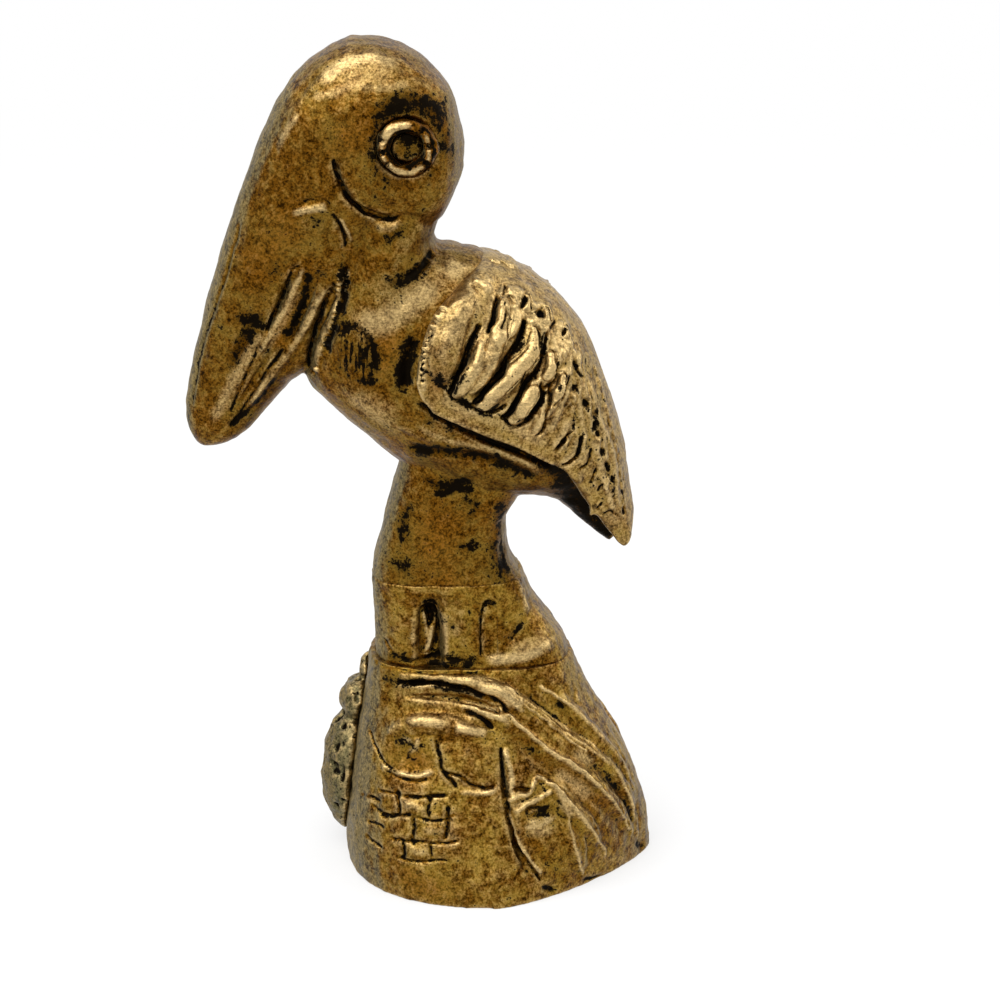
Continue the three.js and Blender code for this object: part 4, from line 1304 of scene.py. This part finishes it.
class PelicanStage(bpy.types.PropertyGroup):
    floor: colour("Floor", "Colour of the floor", (0.86, 0.86, 0.86))
    key: FloatProperty(
        name="Key light", description="Power of the lamp above", default=2.65, min=0, unit="POWER"
    )
    fill: FloatProperty(name="Fill light", description="Strength of the world's light", default=0.85, min=0)


# An operator for each piece or group of pieces, and one for the stage

# Beads, in metres: size along the route, size across it, and height.
BILL_TOOTH = (0.0005, 0.0009, 0.00045)
WING_TOOTH = (0.00055, 0.0011, 0.0005)
SCALE = (0.0013, 0.0006, 0.0001)


class Step:
    """What the operators share."""

    bl_options = {"REGISTER", "UNDO"}


class PELICAN_OT_bird(Step, bpy.types.Operator):
    """Casts the bird: body, head with its bill, and legs"""

    bl_idname = "pelican.bird"
    bl_label = "Cast the bird"

    def execute(self, context):
        teeth = bead_mesh("bird_body", [BILL_TEETH], sizes().tooth_pitch, *BILL_TOOTH, seed=3)
        dress(
            "bird_casting", "bird_body", sizes().bird_mesh, brass(), BIRD_RELIEF, BIRD_TONES,
            polish=0.05, crest=0.5, seed=10, details=[teeth], seams=[LEG_SEAM], lifts=BACK_LIFTS,
        )
        return {"FINISHED"}


class PELICAN_OT_wings(Step, bpy.types.Operator):
    """Casts both wings with their feathers and scales"""

    bl_idname = "pelican.wings"
    bl_label = "Cast the wings"

    def execute(self, context):
        outer, inner = (np.array(route) for route in SCALE_EDGES)
        rows = [outer + share * (inner - outer) for share in np.linspace(0.1, 0.9, sizes().scale_rows)]
        for node, flank in (("left_wing", 1), ("right_wing", -1)):
            beads = (
                ([WING_FRONT], sizes().tooth_pitch, *WING_TOOTH, 4),
                (rows, sizes().scale_pitch, *SCALE, 5),
            )
            dress(
                node + "_casting", node, sizes().wing_mesh, pale_brass(), WING_RELIEF, WING_TONES,
                polish=0.36, seed=20, details=[bead_mesh("left_wing", *one, flanks=[flank]) for one in beads],
                sunk=0.5, blend_in=1.9, evened=WING_EVENED, margin=(0.4, 0.7),
            )
        return {"FINISHED"}


class PELICAN_OT_eyes(Step, bpy.types.Operator):
    """Casts the rings round the eyes"""

    bl_idname = "pelican.eyes"
    bl_label = "Cast the eye rings"

    def execute(self, context):
        notches = [(half_width, depth, ray(*turn)) for half_width, depth, turn in EYE_NOTCHES]
        lip, stains, wears = (
            [(half_width, share, arc(*bend)) for half_width, share, bend in rows]
            for rows in (EYE_LIP, EYE_STAINS, EYE_WEARS)
        )
        stains = [(half_width, 1.0, route) for half_width, _, route in notches] + stains
        for node in ("left_eye_ring", "right_eye_ring"):
            dress(
                node + "_casting", node, sizes().ring_mesh, ring_brass(), lip + notches,
                {"stain": stains, "wear": wears}, slot="rubbed_brass",
                polish=-0.35, seed=30, evening=14, uneven=3.4, swell=0.24,
            )
        return {"FINISHED"}


class PELICAN_OT_stump(Step, bpy.types.Operator):
    """Casts the stump with its arches"""

    bl_idname = "pelican.stump"
    bl_label = "Cast the stump"

    def execute(self, context):
        dress(
            "stump_casting", "perch_stump", sizes().base_mesh, pale_brass(), STUMP_RELIEF, STUMP_TONES,
            polish=0.1, seed=10, evening=10, uneven=1.4, seams=[ROCK_SEAM, LEG_SEAM], fills=STUMP_FILLS,
        )
        return {"FINISHED"}


class PELICAN_OT_rock(Step, bpy.types.Operator):
    """Casts the rock with its ridges and cracks"""

    bl_idname = "pelican.rock"
    bl_label = "Cast the rock"

    def execute(self, context):
        dress(
            "rock_casting", "rock_base", sizes().base_mesh, pale_brass(), ROCK_RELIEF + ROCK_CUTS, ROCK_TONES,
            polish=0.12, seed=10, uneven=1.4, seams=[ROCK_SEAM],
        )
        return {"FINISHED"}


class PELICAN_OT_lump(Step, bpy.types.Operator):
    """Casts the rough lumps at the side of the rock"""

    bl_idname = "pelican.lump"
    bl_label = "Cast the rough lumps"

    def execute(self, context):
        dress(
            "lump_casting", "side_rock", sizes().base_mesh, rough_brass(), [], {}, slot="rough_brass",
            tarnish=0.2, seed=60, uneven=2.5, pits=0.5, swell=0.3,
        )
        return {"FINISHED"}


class PELICAN_OT_screw(Step, bpy.types.Operator):
    """Gives the screw and its washer their steel"""

    bl_idname = "pelican.screw"
    bl_label = "Finish the screw and washer"

    def execute(self, context):
        for node in ("tie_screw", "screw_washer"):
            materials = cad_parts[node].data.materials
            materials.clear()
            materials.append(screw_steel())
        return {"FINISHED"}


class PELICAN_OT_stage(Step, bpy.types.Operator):
    """Sets the floor, the lamps, the world and the camera"""

    bl_idname = "pelican.stage"
    bl_label = "Set the stage"

    def execute(self, context):
        scene = context.scene
        settings = scene.pelican_stage
        scene.view_settings.view_transform = "Standard"
        light_the_world(settings.fill)
        lay_floor(settings.floor)
        hang_lamp("key", Vector((-0.2, -0.2, 0.5)), 0.6, settings.key)
        hang_lamp("side", Vector((0.45, 0.05, 0.35)), 0.4, settings.key * 0.3)
        set_camera(scene)
        return {"FINISHED"}


# The stage

AIM = Vector((0.0094, 0, 0.045))  # where the lamps point, in metres
CAMERA = (0.0094, -0.39467, 0.18926)
TILT = math.radians(70)  # from looking straight down
FLOOR_RADIUS = 6
# Distance from the middle, in metres, over which the floor goes from its shadowed look to plain white.
WHITE_FROM, WHITE_AT = 0.08, 0.4


def background_ray(tree):
    """1 for the rays that show the background: those of the camera, of reflections and through glass."""
    path = add(tree, "ShaderNodeLightPath").outputs
    seen = path["Is Camera Ray"]
    for name in ("Is Glossy Ray", "Is Transmission Ray"):
        seen = maths(tree, "MAXIMUM", seen, path[name])
    return seen


def light_the_world(fill):
    """White where the background shows, and a softer grey where the world lights the object."""
    world = bpy.data.worlds.new("studio")
    world.use_nodes = True
    tree = world.node_tree
    background = tree.nodes["Background"].inputs
    strength = add(tree, "ShaderNodeMapRange", {"Value": background_ray(tree), "To Min": fill, "To Max": 1.0})
    tree.links.new(strength.outputs[0], background["Strength"])
    background["Color"].default_value = (1, 1, 1, 1)
    bpy.context.scene.world = world


def lay_floor(tint):
    """A wide floor whose material keeps the shadow under the object and is white elsewhere."""
    mesh = bpy.data.meshes.new("floor")
    work = bmesh.new()
    bmesh.ops.create_circle(work, cap_ends=True, radius=FLOOR_RADIUS, segments=64)
    work.to_mesh(mesh)
    work.free()
    material = bpy.data.materials.new("pale_floor")
    material.use_nodes = True
    tree = material.node_tree
    shader = tree.nodes["Principled BSDF"]
    shader.inputs["Roughness"].default_value = 0.9
    place = add(tree, "ShaderNodeTexCoord").outputs["Object"]
    dark, light = ((*(min(1, factor * c) for c in tint), 1.0) for factor in (1, 1.03))
    tree.links.new(blend(tree, cloud(tree, place, 0.004), dark, light), shader.inputs["Base Color"])
    glow = add(tree, "ShaderNodeEmission").outputs[0]
    reach = add(tree, "ShaderNodeVectorMath", {0: place}, operation="LENGTH").outputs["Value"]
    fade = {"Value": reach, "From Min": WHITE_FROM, "From Max": WHITE_AT, "To Min": 0.62, "To Max": 1.0}
    far = add(tree, "ShaderNodeMapRange", fade).outputs[0]
    share = maths(tree, "MULTIPLY", background_ray(tree), far)
    mix = add(tree, "ShaderNodeMixShader", {0: share, 1: shader.outputs[0], 2: glow})
    tree.links.new(mix.outputs[0], tree.nodes["Material Output"].inputs["Surface"])
    mesh.materials.append(material)
    bare("floor", mesh)


def hang_lamp(name, place, width, power):
    """A square soft lamp that shines on the object."""
    lamp = bpy.data.lights.new(name, "AREA")
    lamp.size = width
    lamp.energy = power
    holder = bare(name + "_lamp", lamp)
    holder.location = place
    holder.rotation_euler = (AIM - place).to_track_quat("-Z", "Y").to_euler()


def set_camera(scene):
    """The camera of the photograph: 20 degrees above the object's side, with a long lens."""
    camera = bpy.data.cameras.new("camera")
    camera.sensor_width = 36
    camera.lens = 126.04
    camera.clip_end = 20
    scene.camera = bare("camera", camera)
    scene.camera.location = CAMERA
    scene.camera.rotation_euler = (TILT, 0, 0)


STEPS = (
    PELICAN_OT_bird,
    PELICAN_OT_wings,
    PELICAN_OT_eyes,
    PELICAN_OT_stump,
    PELICAN_OT_rock,
    PELICAN_OT_lump,
    PELICAN_OT_screw,
    PELICAN_OT_stage,
)


class PELICAN_PT_workshop(bpy.types.Panel):
    """The figure's sizes, finish and stage, with a button for each piece"""

    bl_idname = "PELICAN_PT_workshop"
    bl_label = "Pelican figurine"
    bl_space_type = "VIEW_3D"
    bl_region_type = "UI"
    bl_category = "Pelican"

    def draw(self, context):
        for group_name in SETTINGS:
            settings = getattr(context.scene, group_name)
            box = self.layout.box()
            for name in settings.__annotations__:
                box.prop(settings, name)
        for step in STEPS:
            self.layout.operator(step.bl_idname)


SETTINGS = {"pelican_sizes": PelicanSizes, "pelican_finish": PelicanFinish, "pelican_stage": PelicanStage}
CLASSES = (*SETTINGS.values(), *STEPS, PELICAN_PT_workshop)


def register():
    for one in CLASSES:
        bpy.utils.register_class(one)
    for name, kind in SETTINGS.items():
        setattr(bpy.types.Scene, name, PointerProperty(type=kind))


def unregister():
    for name in SETTINGS:
        delattr(bpy.types.Scene, name)
    for one in reversed(CLASSES):
        bpy.utils.unregister_class(one)


def main():
    register()
    for step in STEPS:
        family, name = step.bl_idname.split(".")
        getattr(getattr(bpy.ops, family), name)()


if __name__ == "__main__":
    main()
